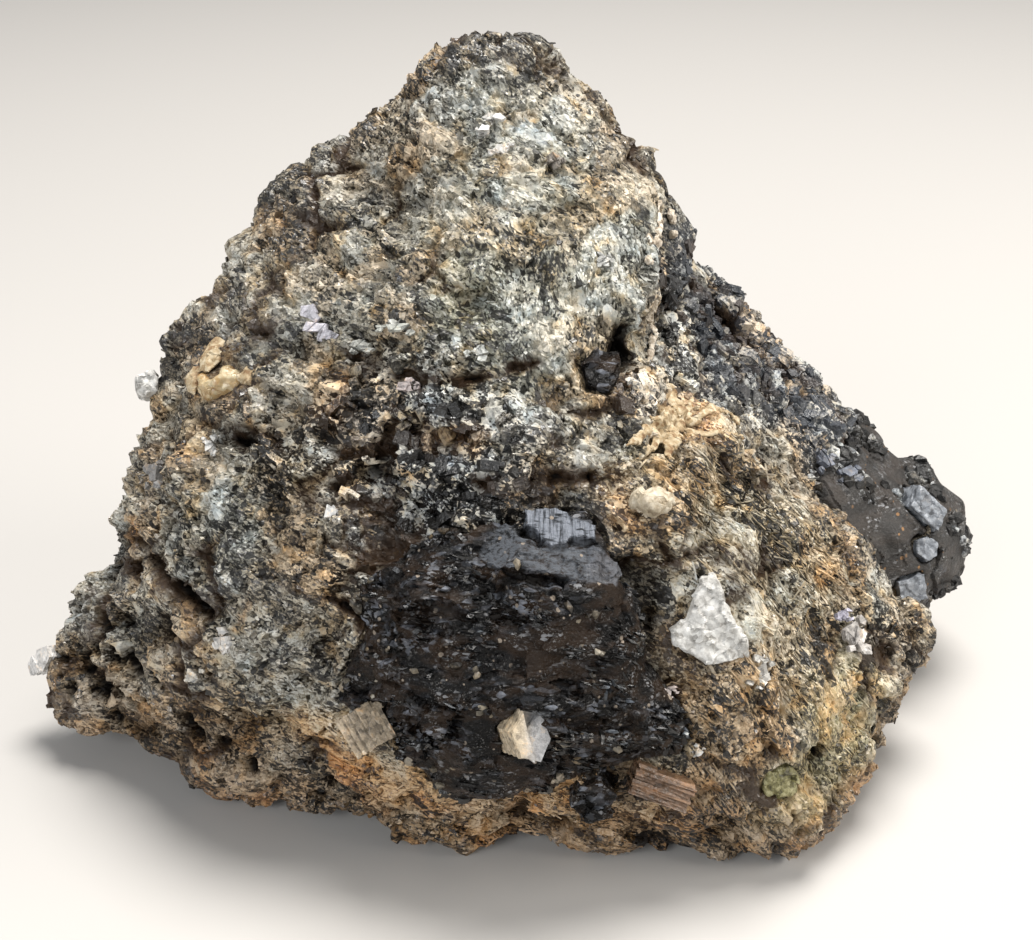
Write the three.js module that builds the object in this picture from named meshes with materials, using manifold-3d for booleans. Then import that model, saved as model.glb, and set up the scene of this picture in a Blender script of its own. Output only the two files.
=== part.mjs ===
// Black tourmaline in mica schist: a hand specimen that stands on its broken base.
// Millimetres, +Z up, +X to the right and +Y to the back of the specimen as it is shown.
import * as THREE from "three";
import { ConvexHull } from "three/addons/math/ConvexHull.js";
import { mergeVertices } from "three/addons/utils/BufferGeometryUtils.js";
import Module from "manifold-3d";

const wasm = await Module();
wasm.setup();

const seatGap = 0.3; // clearance between a crystal and its socket in the schist
const socketGrowth = seatGap * 1.4; // the same clearance measured along a slanting wall
const shownFace = new THREE.Vector3(0, -0.89, 0.454); // the way the broken face looks
const closerNet = 0.22; // how much finer the facets are on the broken face than behind
const foliation = new THREE.Vector3(0.34, 0.18, 0.92).normalize(); // across the mica layers

// ---------------------------------------------------------------- seeded noise

function hash(x, y, z, salt) {
  let h = Math.imul(x, 0x27d4eb2d) ^ Math.imul(y, 0x165667b1);
  h ^= Math.imul(z, 0x1b873593) ^ Math.imul(salt, 0x2545f491);
  h = Math.imul(h ^ (h >>> 15), 0x85ebca6b);
  h = Math.imul(h ^ (h >>> 13), 0xc2b2ae35);
  return ((h ^ (h >>> 16)) >>> 0) / 4294967296;
}

// The grain nearest to a point: jittered cells of a given size, flattened across the foliation.
function nearestGrain(point, size, salt) {
  const flatness = 1.7;
  const q = point.clone().addScaledVector(foliation, point.dot(foliation) * (flatness - 1));
  const cell = q.clone().divideScalar(size);
  let best = { distance: Infinity };
  for (let i = 0; i < 27; i++) {
    const x = Math.floor(cell.x) + (i % 3) - 1;
    const y = Math.floor(cell.y) + (Math.floor(i / 3) % 3) - 1;
    const z = Math.floor(cell.z) + Math.floor(i / 9) - 1;
    const centre = new THREE.Vector3(
      x + hash(x, y, z, salt),
      y + hash(x, y, z, salt + 1),
      z + hash(x, y, z, salt + 2),
    );
    const distance = centre.distanceTo(cell);
    if (distance < best.distance) best = { distance, offset: cell.clone().sub(centre), x, y, z };
  }
  return best;
}

// Height of broken rock over a smooth surface: every grain is a small tilted plane at its own level.
function brokenHeight(point, size, step, tilt, salt) {
  const grain = nearestGrain(point, size, salt);
  const level = hash(grain.x, grain.y, grain.z, salt + 3) - 0.5;
  const slope = new THREE.Vector3(
    hash(grain.x, grain.y, grain.z, salt + 4) - 0.5,
    hash(grain.x, grain.y, grain.z, salt + 5) - 0.5,
    hash(grain.x, grain.y, grain.z, salt + 6) - 0.5,
  );
  return step * level + tilt * slope.dot(grain.offset);
}

// ---------------------------------------------------------------- broken solids

// The landmarks' triangles, as seen from the heart of the piece.
function facetsOf(landmarks, heart) {
  const byDirection = new Map();
  const directions = landmarks.map((p) => {
    const direction = p.clone().sub(heart).normalize();
    byDirection.set(direction, p);
    return direction;
  });
  const hull = new ConvexHull().setFromPoints(directions);
  return hull.faces.map((face) => {
    const corners = [];
    let edge = face.edge;
    do {
      corners.push(byDirection.get(edge.head().point));
      edge = edge.next;
    } while (edge !== face.edge);
    return corners;
  });
}

// How far the flat facets lie from the heart in one direction. A ray along an edge still counts.
function reach(direction, facets, heart) {
  const slack = 1e-4;
  const [ab, ac, fromHeart, normal, side] = [0, 1, 2, 3, 4].map(() => new THREE.Vector3());
  let far = 0;
  for (const corners of facets)
    for (let i = 2; i < corners.length; i++) {
      fromHeart.copy(heart).sub(corners[0]);
      ab.copy(corners[i - 1]).sub(corners[0]);
      ac.copy(corners[i]).sub(corners[0]);
      normal.copy(direction).cross(ac);
      const determinant = ab.dot(normal);
      if (Math.abs(determinant) < 1e-9) continue;
      const u = fromHeart.dot(normal) / determinant;
      side.copy(fromHeart).cross(ab);
      const v = direction.dot(side) / determinant;
      const distance = ac.dot(side) / determinant;
      if (u > -slack && v > -slack && u + v < 1 + slack && distance > far) far = distance;
    }
  return far;
}

// A closed surface with shared corners, as the booleans need it.
function joined(geometry) {
  geometry.deleteAttribute("normal");
  geometry.deleteAttribute("uv");
  return mergeVertices(geometry, 1e-5);
}

// A closed piece of stone around a heart: flat facets between landmarks, edges worn by a
// rounding angle, and a relief added along each direction. Nothing reaches below the floor.
function stone({ heart, landmarks, detail, rounding, relief, growth = 0 }) {
  const centre = new THREE.Vector3(...heart);
  const facets = facetsOf(landmarks.map((p) => new THREE.Vector3(...p)), centre);
  const geometry = joined(new THREE.IcosahedronGeometry(1, detail));
  const position = geometry.getAttribute("position");
  const direction = new THREE.Vector3();
  const point = new THREE.Vector3();
  for (let i = 0; i < position.count; i++) {
    direction.fromBufferAttribute(position, i).normalize();
    direction.addScaledVector(shownFace, closerNet).normalize();
    const side = new THREE.Vector3(direction.y, direction.z, direction.x).cross(direction).normalize();
    const up = direction.clone().cross(side);
    let sum = reach(direction, facets, centre);
    let weight = 1;
    for (let k = 0; k < (rounding ? 6 : 0); k++) {
      const turn = (k * Math.PI) / 3;
      const nearby = direction
        .clone()
        .addScaledVector(side, Math.cos(turn) * rounding)
        .addScaledVector(up, Math.sin(turn) * rounding)
        .normalize();
      sum += reach(nearby, facets, centre) * 0.6;
      weight += 0.6;
    }
    let radius = sum / weight;
    point.copy(centre).addScaledVector(direction, radius);
    radius += relief(point, direction) + growth;
    const toFloor = direction.z < 0 ? centre.z / -direction.z : Infinity;
    point.copy(centre).addScaledVector(direction, Math.min(radius, toFloor));
    position.setXYZ(i, point.x, point.y, Math.max(point.z, 0));
  }
  return geometry;
}

// ---------------------------------------------------------------- solids and booleans

function solid(geometry) {
  return new wasm.Manifold(
    new wasm.Mesh({
      numProp: 3,
      vertProperties: new Float32Array(geometry.getAttribute("position").array),
      triVerts: new Uint32Array(geometry.index.array),
    }),
  );
}

function geometryOf(manifold) {
  const mesh = manifold.getMesh();
  return new THREE.BufferGeometry()
    .setAttribute("position", new THREE.BufferAttribute(new Float32Array(mesh.vertProperties), 3))
    .setIndex(new THREE.BufferAttribute(new Uint32Array(mesh.triVerts), 1));
}

// Crumbs that a cut leaves loose are dropped.
function largest(manifold) {
  return manifold.decompose().reduce((a, b) => (a.volume() > b.volume() ? a : b));
}

// ---------------------------------------------------------------- the schist

const schistHeart = [0, 0, 34];
const schistLandmarks = [
  // peak
  [-1, 26, 84.5], [3.5, 26, 83], [-7, 27, 83], [-11, 27, 80.5], [9, 25.5, 80],
  // left ridge
  [-14, 26, 76.5], [-20, 24.5, 71], [-28, 23, 66], [-31.5, 21, 60.5], [-36.5, 19, 54],
  [-39, 18, 51.5], [-42.5, 16, 45], [-45.5, 10.5, 39.5],
  // left foot
  [-44.5, 7, 34.5], [-48, 9, 25], [-54, 9.5, 19], [-58.5, 8, 12.5], [-59, 5, 6.5], [-54, 0.5, 2],
  [-45, -3.5, 3],
  // right ridge
  [15, 24.5, 75.5], [19.5, 24, 70], [20.5, 23.5, 65], [23, 23.5, 60.5], [25.5, 26.5, 55.5],
  // right crest
  [31, 30, 51], [36, 29, 45], [38.5, 28, 40.5], [44, 27.5, 37], [49, 26.5, 33.5],
  // front foot
  [-36, -6.5, 1], [-27, -10.5, 0.5], [-18.5, -12.5, 1], [-13, -15.5, -1], [-5.5, -18, -1.5],
  [1.5, -17, 7], [7, -16.5, -0.5], [16, -17, -1], [24, -18.5, -1.5], [36, -20.5, -1.5],
  // right lobe rim
  [40.5, -13.5, 1], [45, -9, 3], [46, -5.5, 6], [53, 2, 10], [54.5, 5, 13], [51.5, 8.5, 17.5],
  // shoulder under the tourmaline
  [51.5, 17, 19], [49, 11.5, 16.5],
  // upper front
  [0, 15, 77], [6.5, 13.5, 74], [-6.5, 15, 75], [12, 9.5, 70], [2.5, 4.5, 69], [-8.5, 7, 67],
  [-17.5, 8, 63.5], [-25.5, 8.5, 57.5], [-32.5, 7.5, 49], [9.5, -1, 62], [2.5, -4.5, 60],
  [-7, -4, 59], [-16, -1.5, 55.5],
  // pale ridge
  [17, 13, 68.5], [17, 7.5, 65], [16.5, 2, 61], [17, -1.5, 56.5], [17.5, -4.5, 51.5],
  // pit beside the ridge
  [11, -3.5, 59], [15.5, -1, 59], [16, -4.5, 54], [11, -7, 54.5], [13.5, 0.5, 54.5],
  // middle band
  [-21, -4, 50.5], [-31, 0, 45.5], [-39, 5, 41.5], [10.5, -11, 48.5], [2.5, -11.5, 51],
  [-7, -10.5, 49], [-15.5, -10.5, 47], [-23, -9.5, 44], [-34, -4, 40], [-40.5, 0, 34],
  // step under the middle band
  [-21.5, -8, 41], [-12.5, -11, 42.5], [-4, -13.5, 43],
  // right flank
  [20, 15.5, 60], [22, 14.5, 51.5], [23.5, 9.5, 46], [27.5, 23, 50.5], [30.5, 20, 45],
  [32.5, 16, 39], [30.5, 6, 39.5], [40.5, 16, 32.5], [43.5, 11, 26.5],
  // left belly
  [-26, -15, 37.5], [-18.5, -17.5, 36.5], [-41.5, -1, 27.5], [-34.5, -10.5, 28.5],
  [-47.5, 2, 18.5], [-48.5, -3, 13], [-37, -10.5, 18], [-26.5, -17.5, 27], [-19.5, -19.5, 29],
  // hollow of the front tourmaline
  [-10, -17, 38.5], [0, -16, 42], [10.5, -17, 38.5], [13.5, -19.5, 30.5], [4.5, -20.5, 31],
  [-7, -20.5, 31], [-14.5, -19, 23], [-5, -22.5, 21], [6.5, -22.5, 20], [17, -21.5, 20.5],
  // right lobe
  [20.5, -6, 47], [15.5, -13.5, 45], [25.5, -10, 40.5], [19.5, -17, 38.5], [30, -10.5, 35],
  [27.5, -18, 32], [38.5, -6, 28.5], [43, 1.5, 28], [44, -7, 22.5], [34.5, -16.5, 23.5],
  [25, -22, 25], [40.5, -12, 15], [31, -21.5, 14], [23.5, -23, 15], [38, -16.5, 9],
  // brow over the base
  [15, -23, 12.5], [9.5, -23, 12.5], [1.5, -23.5, 14.5], [-7.5, -22.5, 12], [-16.5, -19, 12.5],
  [-24, -16, 13.5], [-34, -12, 12.5],
  // back
  [-6, 32, 76.5], [8, 33, 72.5], [-20, 40, 50], [4, 44, 48], [26, 38, 44], [-36, 32, 34],
  [-30, 46, 18], [-4, 53, 22], [22, 50, 18], [42, 38, 20], [51, 24, 18],
  // underside
  [-12, 8, -3], [12, 6, -3], [0, 24, -3], [-16, 30, -2], [22, 26, -3], [-30, 40, 2], [0, 50, 1],
  [28, 44, 1], [-38, 18, 3], [-26, 0, 3], [40, 22, 5], [30, 2, -1], [-44, 26, 10], [10, -8, 2],
  [-10, -6, 2],
];

// Lumps and ledges about 13 mm across, with broken grains half that size on them.
function schistRelief(point) {
  const lumps = brokenHeight(point, 13, 2.3, 2.8, 371);
  const grains = brokenHeight(point, 6.5, 1.5, 2.2, 391);
  return lumps + grains - 0.4;
}

// ---------------------------------------------------------------- the tourmaline

const frontSchorlHeart = [1, -16, 26.5];
const frontSchorlLandmarks = [
  // rim, steps and faces
  [-1, -16.5, 44], [2.5, -16.5, 45], [10.5, -16.5, 44], [12, -18.5, 39.5], [15, -19.5, 35.5],
  [15.5, -20.5, 30], [15, -22, 26.5], [20, -21, 24.5], [21.5, -22, 20], [19.5, -22.5, 16.5],
  [15, -23.5, 17], [9, -24.5, 16.5], [5, -25.5, 15], [0, -25, 14], [-7.5, -23, 13],
  [-11, -21.5, 16], [-12.5, -21.5, 21], [-18, -20, 23.5], [-18.5, -18.5, 25], [-15.5, -19, 29],
  [-15.5, -17.5, 34], [-12.5, -17, 38.5], [-6, -16.5, 42.5], [2, -18.5, 42], [6.5, -19.5, 41],
  [10.5, -19, 41], [-1, -18.5, 41], [-0.5, -23, 41], [4.5, -23, 41.5], [11.5, -23, 39.5],
  [-0.5, -21.5, 37.5], [5.5, -22, 38.5], [11, -22.5, 36.5], [6, -25, 34.5], [12.5, -24, 33],
  [-2.5, -24.5, 34], [-7.5, -22, 37.5], [-10.5, -22.5, 32.5], [2, -27, 29.5], [10.5, -26, 28],
  [-6, -25.5, 27], [-12, -23, 26.5], [16, -25, 25.5], [18, -25.5, 22], [11.5, -26.5, 22.5],
  [4.5, -26.5, 22.5], [-3, -26, 19.5],
  // root in the schist
  [-5.5, -8.5, 28.5], [6.5, -7.5, 30.5], [2.5, -10.5, 18], [-7.5, -13, 17], [12.5, -12.5, 18],
  [0, -15.5, 12], [11, -9.5, 24], [-11, -11.5, 24],
];

const sideSchorlHeart = [46.5, 21, 22.5];
const sideSchorlLandmarks = [
  // rim, steps and faces
  [38.5, 27.5, 35.5], [44.5, 29, 36], [46.5, 28, 34], [50.5, 27.5, 30.5], [52.5, 27, 28],
  [55.5, 28, 27.5], [60.5, 27, 23.5], [62, 24, 17], [59.5, 20.5, 12], [55.5, 18.5, 11],
  [31, 15, 37], [30, 10.5, 35], [35, 11.5, 32.5], [41, 12, 29], [46, 12.5, 23], [49, 12.5, 17],
  [52, 15, 12.5], [36.5, 17.5, 35.5], [43.5, 20, 33.5], [39.5, 13.5, 32.5], [47, 17.5, 28.5],
  [50.5, 16, 25], [55, 18.5, 24], [56.5, 17, 19], [52.5, 14, 18.5],
  // root in the schist
  [37, 34, 30.5], [46.5, 38.5, 25.5], [55.5, 38, 16.5], [60.5, 33, 11], [48.5, 29, 12],
  [40, 32.5, 22.5],
];

// Fracture steps cut across a long crystal, and striations run along it.
function schorlRelief(axis, salt) {
  const along = new THREE.Vector3(...axis).normalize();
  const across = new THREE.Vector3(along.y, -along.x, 0).normalize();
  return (point) => {
    const stria = Math.sin(point.dot(across) * 2.1 + salt) * 0.25;
    return brokenHeight(point, 7, 0.9, 1.2, salt) + stria;
  };
}

const frontSchorlOf = (growth) =>
  stone({
    heart: frontSchorlHeart,
    landmarks: frontSchorlLandmarks,
    detail: 6,
    rounding: 0,
    relief: schorlRelief([0.2, 0.3, 1], 51),
    growth,
  });

const sideSchorlOf = (growth) =>
  stone({
    heart: sideSchorlHeart,
    landmarks: sideSchorlLandmarks,
    detail: 5,
    rounding: 0,
    relief: schorlRelief([0.75, -0.1, -0.65], 71),
    growth,
  });

// ---------------------------------------------------------------- smaller crystals

// A tabular or columnar crystal: a prism of so many sides, its axis along "faces".
function prism({ at, size, sides, faces = shownFace, spin = 0 }, growth = 0) {
  const [width, height, thickness] = size.map((s) => s + 2 * growth);
  const corner = 0.5 / Math.cos(Math.PI / sides);
  const geometry = joined(new THREE.CylinderGeometry(corner, corner, 1, sides, 1));
  geometry.rotateY(Math.PI / sides + spin);
  geometry.scale(width, thickness, height);
  const turn = new THREE.Quaternion().setFromUnitVectors(
    new THREE.Vector3(0, 1, 0),
    new THREE.Vector3(...faces).normalize(),
  );
  geometry.applyQuaternion(turn);
  geometry.translate(...at);
  return geometry;
}

// A rounded or splintery grain with no crystal faces.
function grain({ at, size, salt, roughness = 0.25, detail = 1 }, growth = 0) {
  const geometry = joined(new THREE.IcosahedronGeometry(1, detail));
  const position = geometry.getAttribute("position");
  const direction = new THREE.Vector3();
  for (let i = 0; i < position.count; i++) {
    direction.fromBufferAttribute(position, i).normalize();
    const bump = 1 + roughness * brokenHeight(direction.clone().multiplyScalar(4), 3, 1, 1, salt);
    position.setXYZ(
      i,
      at[0] + direction.x * (size[0] * 0.5 * bump + growth),
      at[1] + direction.y * (size[1] * 0.5 * bump + growth),
      at[2] + direction.z * (size[2] * 0.5 * bump + growth),
    );
  }
  return geometry;
}

const smallCrystals = {
  feldspar_block_upper: {
    material: "feldspar",
    shape: prism,
    form: { at: [53, 20, 24.6], size: [5.2, 3, 6], sides: 4, faces: [0.25, -0.8, 0.5], spin: 0.25 },
  },
  feldspar_block_middle: {
    material: "feldspar",
    shape: prism,
    form: { at: [53, 18, 20.1], size: [3.2, 2.8, 6], sides: 6, faces: [0.2, -0.85, 0.45], spin: 0.2 },
  },
  feldspar_block_lower: {
    material: "feldspar",
    shape: prism,
    form: { at: [51.2, 15.8, 15.8], size: [3.4, 3.8, 6], sides: 4, faces: [0.2, -0.9, 0.3], spin: -0.2 },
  },
  white_quartz: {
    material: "quartz",
    shape: grain,
    form: { at: [22.1, -16.6, 30], size: [9, 6, 10.5], salt: 5, detail: 2 },
  },
  cream_quartz: {
    material: "feldspar",
    shape: grain,
    form: { at: [16, -14, 43.8], size: [4.8, 4, 3.4], salt: 8 },
  },
  yellow_quartz: {
    material: "stained_quartz",
    shape: grain,
    form: { at: [-31.5, 6.5, 48], size: [5.8, 5, 4.8], salt: 2, roughness: 0.1, detail: 2 },
  },
  edge_quartz: {
    material: "quartz",
    shape: grain,
    form: { at: [-42, 15, 44], size: [3.4, 4, 4.2], salt: 3 },
  },
  mica_book_front: {
    material: "mica",
    shape: prism,
    form: { at: [2.5, -26.5, 24], size: [5, 3.8, 5], sides: 6, faces: [0.35, -0.8, 0.4], spin: 0.2 },
  },
  mica_book_left: {
    material: "mica",
    shape: prism,
    form: { at: [-13.5, -20.5, 20.5], size: [5.2, 4.2, 5], sides: 4, faces: [-0.1, -0.85, 0.5], spin: 0.15 },
  },
  brown_mica_book: {
    material: "brown_mica",
    shape: prism,
    form: { at: [17.2, -22.2, 14.6], size: [6.6, 3.4, 5], sides: 4, faces: [0.05, -0.95, 0.25] },
  },
  tip_mica: {
    material: "mica",
    shape: prism,
    form: { at: [-55.5, 6.2, 11], size: [2.6, 5, 4], sides: 6, faces: [-0.7, -0.6, 0.3] },
  },
  pocket_schorl: {
    material: "schorl",
    shape: prism,
    form: { at: [10.5, -3.5, 53.5], size: [3.8, 4.2, 7], sides: 6, faces: [0.1, -0.8, 0.55], spin: 0.1 },
  },
  low_schorl: {
    material: "schorl",
    shape: prism,
    form: { at: [10, -23, 14], size: [4.4, 4.2, 6], sides: 6, faces: [0, -0.95, 0.2], spin: 0.3 },
  },
  olive_grain: {
    material: "olive",
    shape: grain,
    form: { at: [30, -19, 12.5], size: [5, 5, 5], salt: 9 },
  },
};

// ---------------------------------------------------------------- the group

const materials = {
  schist: new THREE.MeshStandardMaterial({ color: 0x5b554b, roughness: 0.75, metalness: 0.1 }),
  schorl: new THREE.MeshStandardMaterial({ color: 0x16161a, roughness: 0.35, metalness: 0 }),
  quartz: new THREE.MeshStandardMaterial({ color: 0xc9cac4, roughness: 0.4, metalness: 0 }),
  stained_quartz: new THREE.MeshStandardMaterial({ color: 0xc9a063, roughness: 0.4, metalness: 0 }),
  feldspar: new THREE.MeshStandardMaterial({ color: 0x9aa0a4, roughness: 0.45, metalness: 0 }),
  mica: new THREE.MeshStandardMaterial({ color: 0xa89b86, roughness: 0.3, metalness: 0.3 }),
  brown_mica: new THREE.MeshStandardMaterial({ color: 0x5e4636, roughness: 0.4, metalness: 0.2 }),
  olive: new THREE.MeshStandardMaterial({ color: 0x7d7546, roughness: 0.5, metalness: 0 }),
};

const specimen = new THREE.Group();

function show(name, body, material) {
  const mesh = new THREE.Mesh(geometryOf(largest(body)), materials[material]);
  mesh.name = name;
  specimen.add(mesh);
}

let schist = solid(
  stone({
    heart: schistHeart,
    landmarks: schistLandmarks,
    detail: 14,
    rounding: 0.045,
    relief: schistRelief,
  }),
);
schist = schist.subtract(solid(frontSchorlOf(socketGrowth))).subtract(solid(sideSchorlOf(socketGrowth)));
let frontSchorl = solid(frontSchorlOf(0));
let sideSchorl = solid(sideSchorlOf(0));

for (const [name, { material, shape, form }] of Object.entries(smallCrystals)) {
  const socket = solid(shape(form, seatGap));
  schist = schist.subtract(socket);
  frontSchorl = frontSchorl.subtract(socket);
  sideSchorl = sideSchorl.subtract(socket);
  show(name, solid(shape(form)), material);
}
show("schist_matrix", schist, "schist");
show("front_schorl", frontSchorl, "schorl");
show("side_schorl", sideSchorl, "schorl");

// The origin is in the middle of the footprint, on the surface that the specimen rests on.
const box = new THREE.Box3().setFromObject(specimen);
const middle = box.getCenter(new THREE.Vector3());
specimen.position.set(-middle.x, -middle.y, -box.min.z);

export default specimen;
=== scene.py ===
import math
from itertools import product

import bpy
import numpy as np
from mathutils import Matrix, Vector
from mathutils.bvhtree import BVHTree


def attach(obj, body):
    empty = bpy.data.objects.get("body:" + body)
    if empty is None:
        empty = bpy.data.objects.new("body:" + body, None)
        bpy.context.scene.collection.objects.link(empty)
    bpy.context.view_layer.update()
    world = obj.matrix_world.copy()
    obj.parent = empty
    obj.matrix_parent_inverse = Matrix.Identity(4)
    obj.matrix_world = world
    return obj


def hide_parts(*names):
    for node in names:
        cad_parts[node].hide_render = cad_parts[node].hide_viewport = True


mm = 0.001
turn = 2 * math.pi
whole = np.int64
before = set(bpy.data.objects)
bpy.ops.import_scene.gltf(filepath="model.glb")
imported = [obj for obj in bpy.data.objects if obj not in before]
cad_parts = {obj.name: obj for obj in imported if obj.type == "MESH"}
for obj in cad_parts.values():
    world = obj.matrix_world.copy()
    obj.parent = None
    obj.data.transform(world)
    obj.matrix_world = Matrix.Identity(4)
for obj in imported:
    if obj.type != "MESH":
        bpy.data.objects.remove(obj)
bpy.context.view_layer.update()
print("frame loaded:", len(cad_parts), "solids")

shownFace = np.array([0.0, -0.89, 0.454])  # the way the broken face looks
faceUp = np.array([0.0, 0.454, 0.89])  # upwards along that face
acrossFace = np.array([1.0, 0.0, 0.0])


# Objects, their bodies and slots


def asObject(name, data):
    piece = bpy.data.objects.new(name, data)
    bpy.context.scene.collection.objects.link(piece)
    return piece


def dress(piece, material=None, node=None):
    if material:
        piece.data.materials.clear()
        piece.data.materials.append(material)
    if node:
        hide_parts(node)
    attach(piece, "root")
    print(piece.name, len(piece.data.polygons), "faces")


# Camera, floor and lights

view = {"lens": 55.76, "sensor": 36.0, "nearest": 10, "at": (0.53, -170.44, 121.52), "downwards": 27.0}
floorPaint = {"size": 6000, "colour": (0.47, 0.455, 0.435), "roughness": 0.7}
sky = {"colour": (0.92, 0.95, 1.0), "strength": 0.25}
lamps = {
    "key": {
        "at": (120, 140, 900), "towards": (0, -10, 35), "size": 480, "power": 13.5,
        "colour": (1.0, 0.97, 0.93),
    },
    "fill": {
        "at": (-260, -420, 260), "towards": (0, 0, 35), "size": 340, "power": 1.7,
        "colour": (0.96, 0.98, 1.0),
    },
    "rim": {
        "at": (420, -120, 260), "towards": (0, 0, 40), "size": 260, "power": 1.7,
        "colour": (1.0, 0.96, 0.90),
    },
}


def placeCamera():
    data = bpy.data.cameras.new("camera")
    data.lens = view["lens"]
    data.sensor_width = view["sensor"]
    data.clip_start = view["nearest"] * mm
    camera = asObject("camera", data)
    camera.location = [value * mm for value in view["at"]]
    camera.rotation_euler = (math.radians(90 - view["downwards"]), 0, 0)
    bpy.context.scene.camera = camera


def placeLamp(name, at, towards, size, power, colour):
    data = bpy.data.lights.new(name, "AREA")
    data.shape = "DISK"
    data.size = size * mm
    data.energy = power
    data.color = colour
    lamp = asObject(name, data)
    lamp.location = Vector(at) * mm
    lamp.rotation_euler = (Vector(towards) - Vector(at)).to_track_quat("-Z", "Y").to_euler()


def setTheStage():
    placeCamera()
    for name, lamp in lamps.items():
        placeLamp(name, **lamp)
    world = bpy.data.worlds.new("sky")
    world.use_nodes = True
    background = world.node_tree.nodes["Background"].inputs
    background["Color"].default_value = (*sky["colour"], 1)
    background["Strength"].default_value = sky["strength"]
    bpy.context.scene.world = world
    bpy.context.scene.view_settings.view_transform = "Standard"
    bpy.ops.mesh.primitive_plane_add(size=floorPaint["size"] * mm)
    floor = bpy.context.object
    floor.name = "floor"
    paint = bpy.data.materials.new("floorPaint")
    paint.use_nodes = True
    coat = paint.node_tree.nodes["Principled BSDF"].inputs
    coat["Base Color"].default_value = (*floorPaint["colour"], 1)
    coat["Roughness"].default_value = floorPaint["roughness"]
    floor.data.materials.append(paint)


setTheStage()
print("stage set")


# Repeatable randomness on whole-numbered cells


def cellRandom(cells, salt):
    big = np.uint64(0xFFFFFFFF)
    x, y, z = cells.astype(whole).astype(np.uint64).T
    h = (x * np.uint64(73856093)) ^ (y * np.uint64(19349663))
    h = (h ^ (z * np.uint64(83492791)) ^ np.uint64(salt * 2654435761)) & big
    for shift, factor in ((15, 0x85EBCA6B), (13, 0xC2B2AE35)):
        h = ((h ^ (h >> np.uint64(shift))) * np.uint64(factor)) & big
    return ((h ^ (h >> np.uint64(16))) & big).astype(float) / 2.0 ** 32


def cellRandom3(cells, salt):
    return np.stack([cellRandom(cells, salt + k) for k in range(3)], 1)


# The jittered cell nearest to each point: its number, its centre, and how far it and the next one are,
# all in cell sizes.
def nearestCell(points, size, salt):
    scaled = points / size
    base = np.floor(scaled)
    best = np.full(len(points), 1e9)
    nextBest, cells, centres = best.copy(), base.copy(), scaled.copy()
    for step in product((-1, 0, 1), repeat=3):
        cell = base + step
        centre = cell + cellRandom3(cell, salt)
        distance = ((centre - scaled) ** 2).sum(1)
        closer = distance < best
        nextBest = np.where(closer, best, np.minimum(nextBest, distance))
        for kept, found in ((best, distance), (cells, cell), (centres, centre)):
            kept[closer] = found[closer]
    return cells, centres, np.sqrt(best), np.sqrt(nextBest)


# Broken rock: each grain is a small plane at its own level with its own tilt.
def brokenHeight(points, size, step, tilt, salt):
    cells, centres, _, _ = nearestCell(points, size, salt)
    slope = cellRandom3(cells, salt + 10) - 0.5
    level = cellRandom(cells, salt + 20) - 0.5
    return step * level + tilt * ((points / size - centres) * slope).sum(1)


# Rounded knobs with creases between them: the height, how near the crease, how near its stained margin,
# and two random values each.
def knobbly(points, size, swell, salt):
    cells, _, near, far = nearestCell(points, size, salt)
    crease, margin = (np.clip(1 - (far - near) / reach, 0, 1) for reach in (0.17, 0.5))
    height = swell * (0.55 - 1.7 * near ** 2)
    return height, crease, margin, cellRandom(cells, salt + 30), cellRandom(cells, salt + 31)


def softNoise(points, size, salt):  # from -1 to 1
    scaled = points / size
    base = np.floor(scaled)
    part = scaled - base
    part = part * part * (3 - 2 * part)
    total = np.zeros(len(points))
    for corner in product((0, 1), repeat=3):
        weight = np.prod(np.where(corner, part, 1 - part), axis=1)
        total += weight * cellRandom(base + corner, salt)
    return total * 2 - 1


def smoothStep(low, high, values):
    t = np.clip((values - low) / (high - low), 0, 1)
    return t * t * (3 - 2 * t)


def awayFrom(place, points):
    return np.linalg.norm(points - np.array(place), axis=1)


# Local swellings and dents: each a place, a radius and a rise.
def pushed(points, places):
    rise = np.zeros(len(points))
    for place, radius, height in places:
        rise += height * smoothStep(1.3, 0.2, awayFrom(place, points) / radius)
    return rise


def faceBasis(looks):
    looks = np.array(looks, float) / np.linalg.norm(looks)
    across = np.cross(faceUp, looks)
    across /= np.linalg.norm(across)
    return across, np.cross(looks, across), looks


# How far inside an outline each place lies; less than nothing outside it.
def insideOutline(flat, outline):
    corners = np.array(outline, float)
    depth = np.full(len(flat), 1e9)
    within = np.zeros(len(flat), bool)
    for first, last in zip(corners, np.roll(corners, -1, axis=0)):
        edge, off = last - first, flat - first
        along = np.clip(off @ edge / (edge @ edge), 0, 1)
        depth = np.minimum(depth, np.linalg.norm(off - along[:, None] * edge, axis=1))
        crossing = (first[1] > flat[:, 1]) != (last[1] > flat[:, 1])
        within ^= crossing & (off[:, 0] < edge[0] * off[:, 1] / (edge[1] or 1e-9))
    return np.where(within, depth, -depth)


def fromLine(points, line):
    best = np.full(len(points), 1e9)
    for first, last in zip(line[:-1], line[1:]):
        first, last = np.array(first, float), np.array(last, float)
        along = last - first
        t = np.clip((points - first) @ along / (along @ along), 0, 1)
        best = np.minimum(best, np.linalg.norm(points - first - t[:, None] * along, axis=1))
    return best


def warped(points, size, reach, salt):
    return points + reach * np.stack([softNoise(points, size, salt + 7 * k) for k in range(3)], 1)


# The grain of the rock. Blocks about a centimetre across each have their own lie of the mica:
# dips in degrees, down to the right, at a few places; between them the dip is blended.

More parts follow.
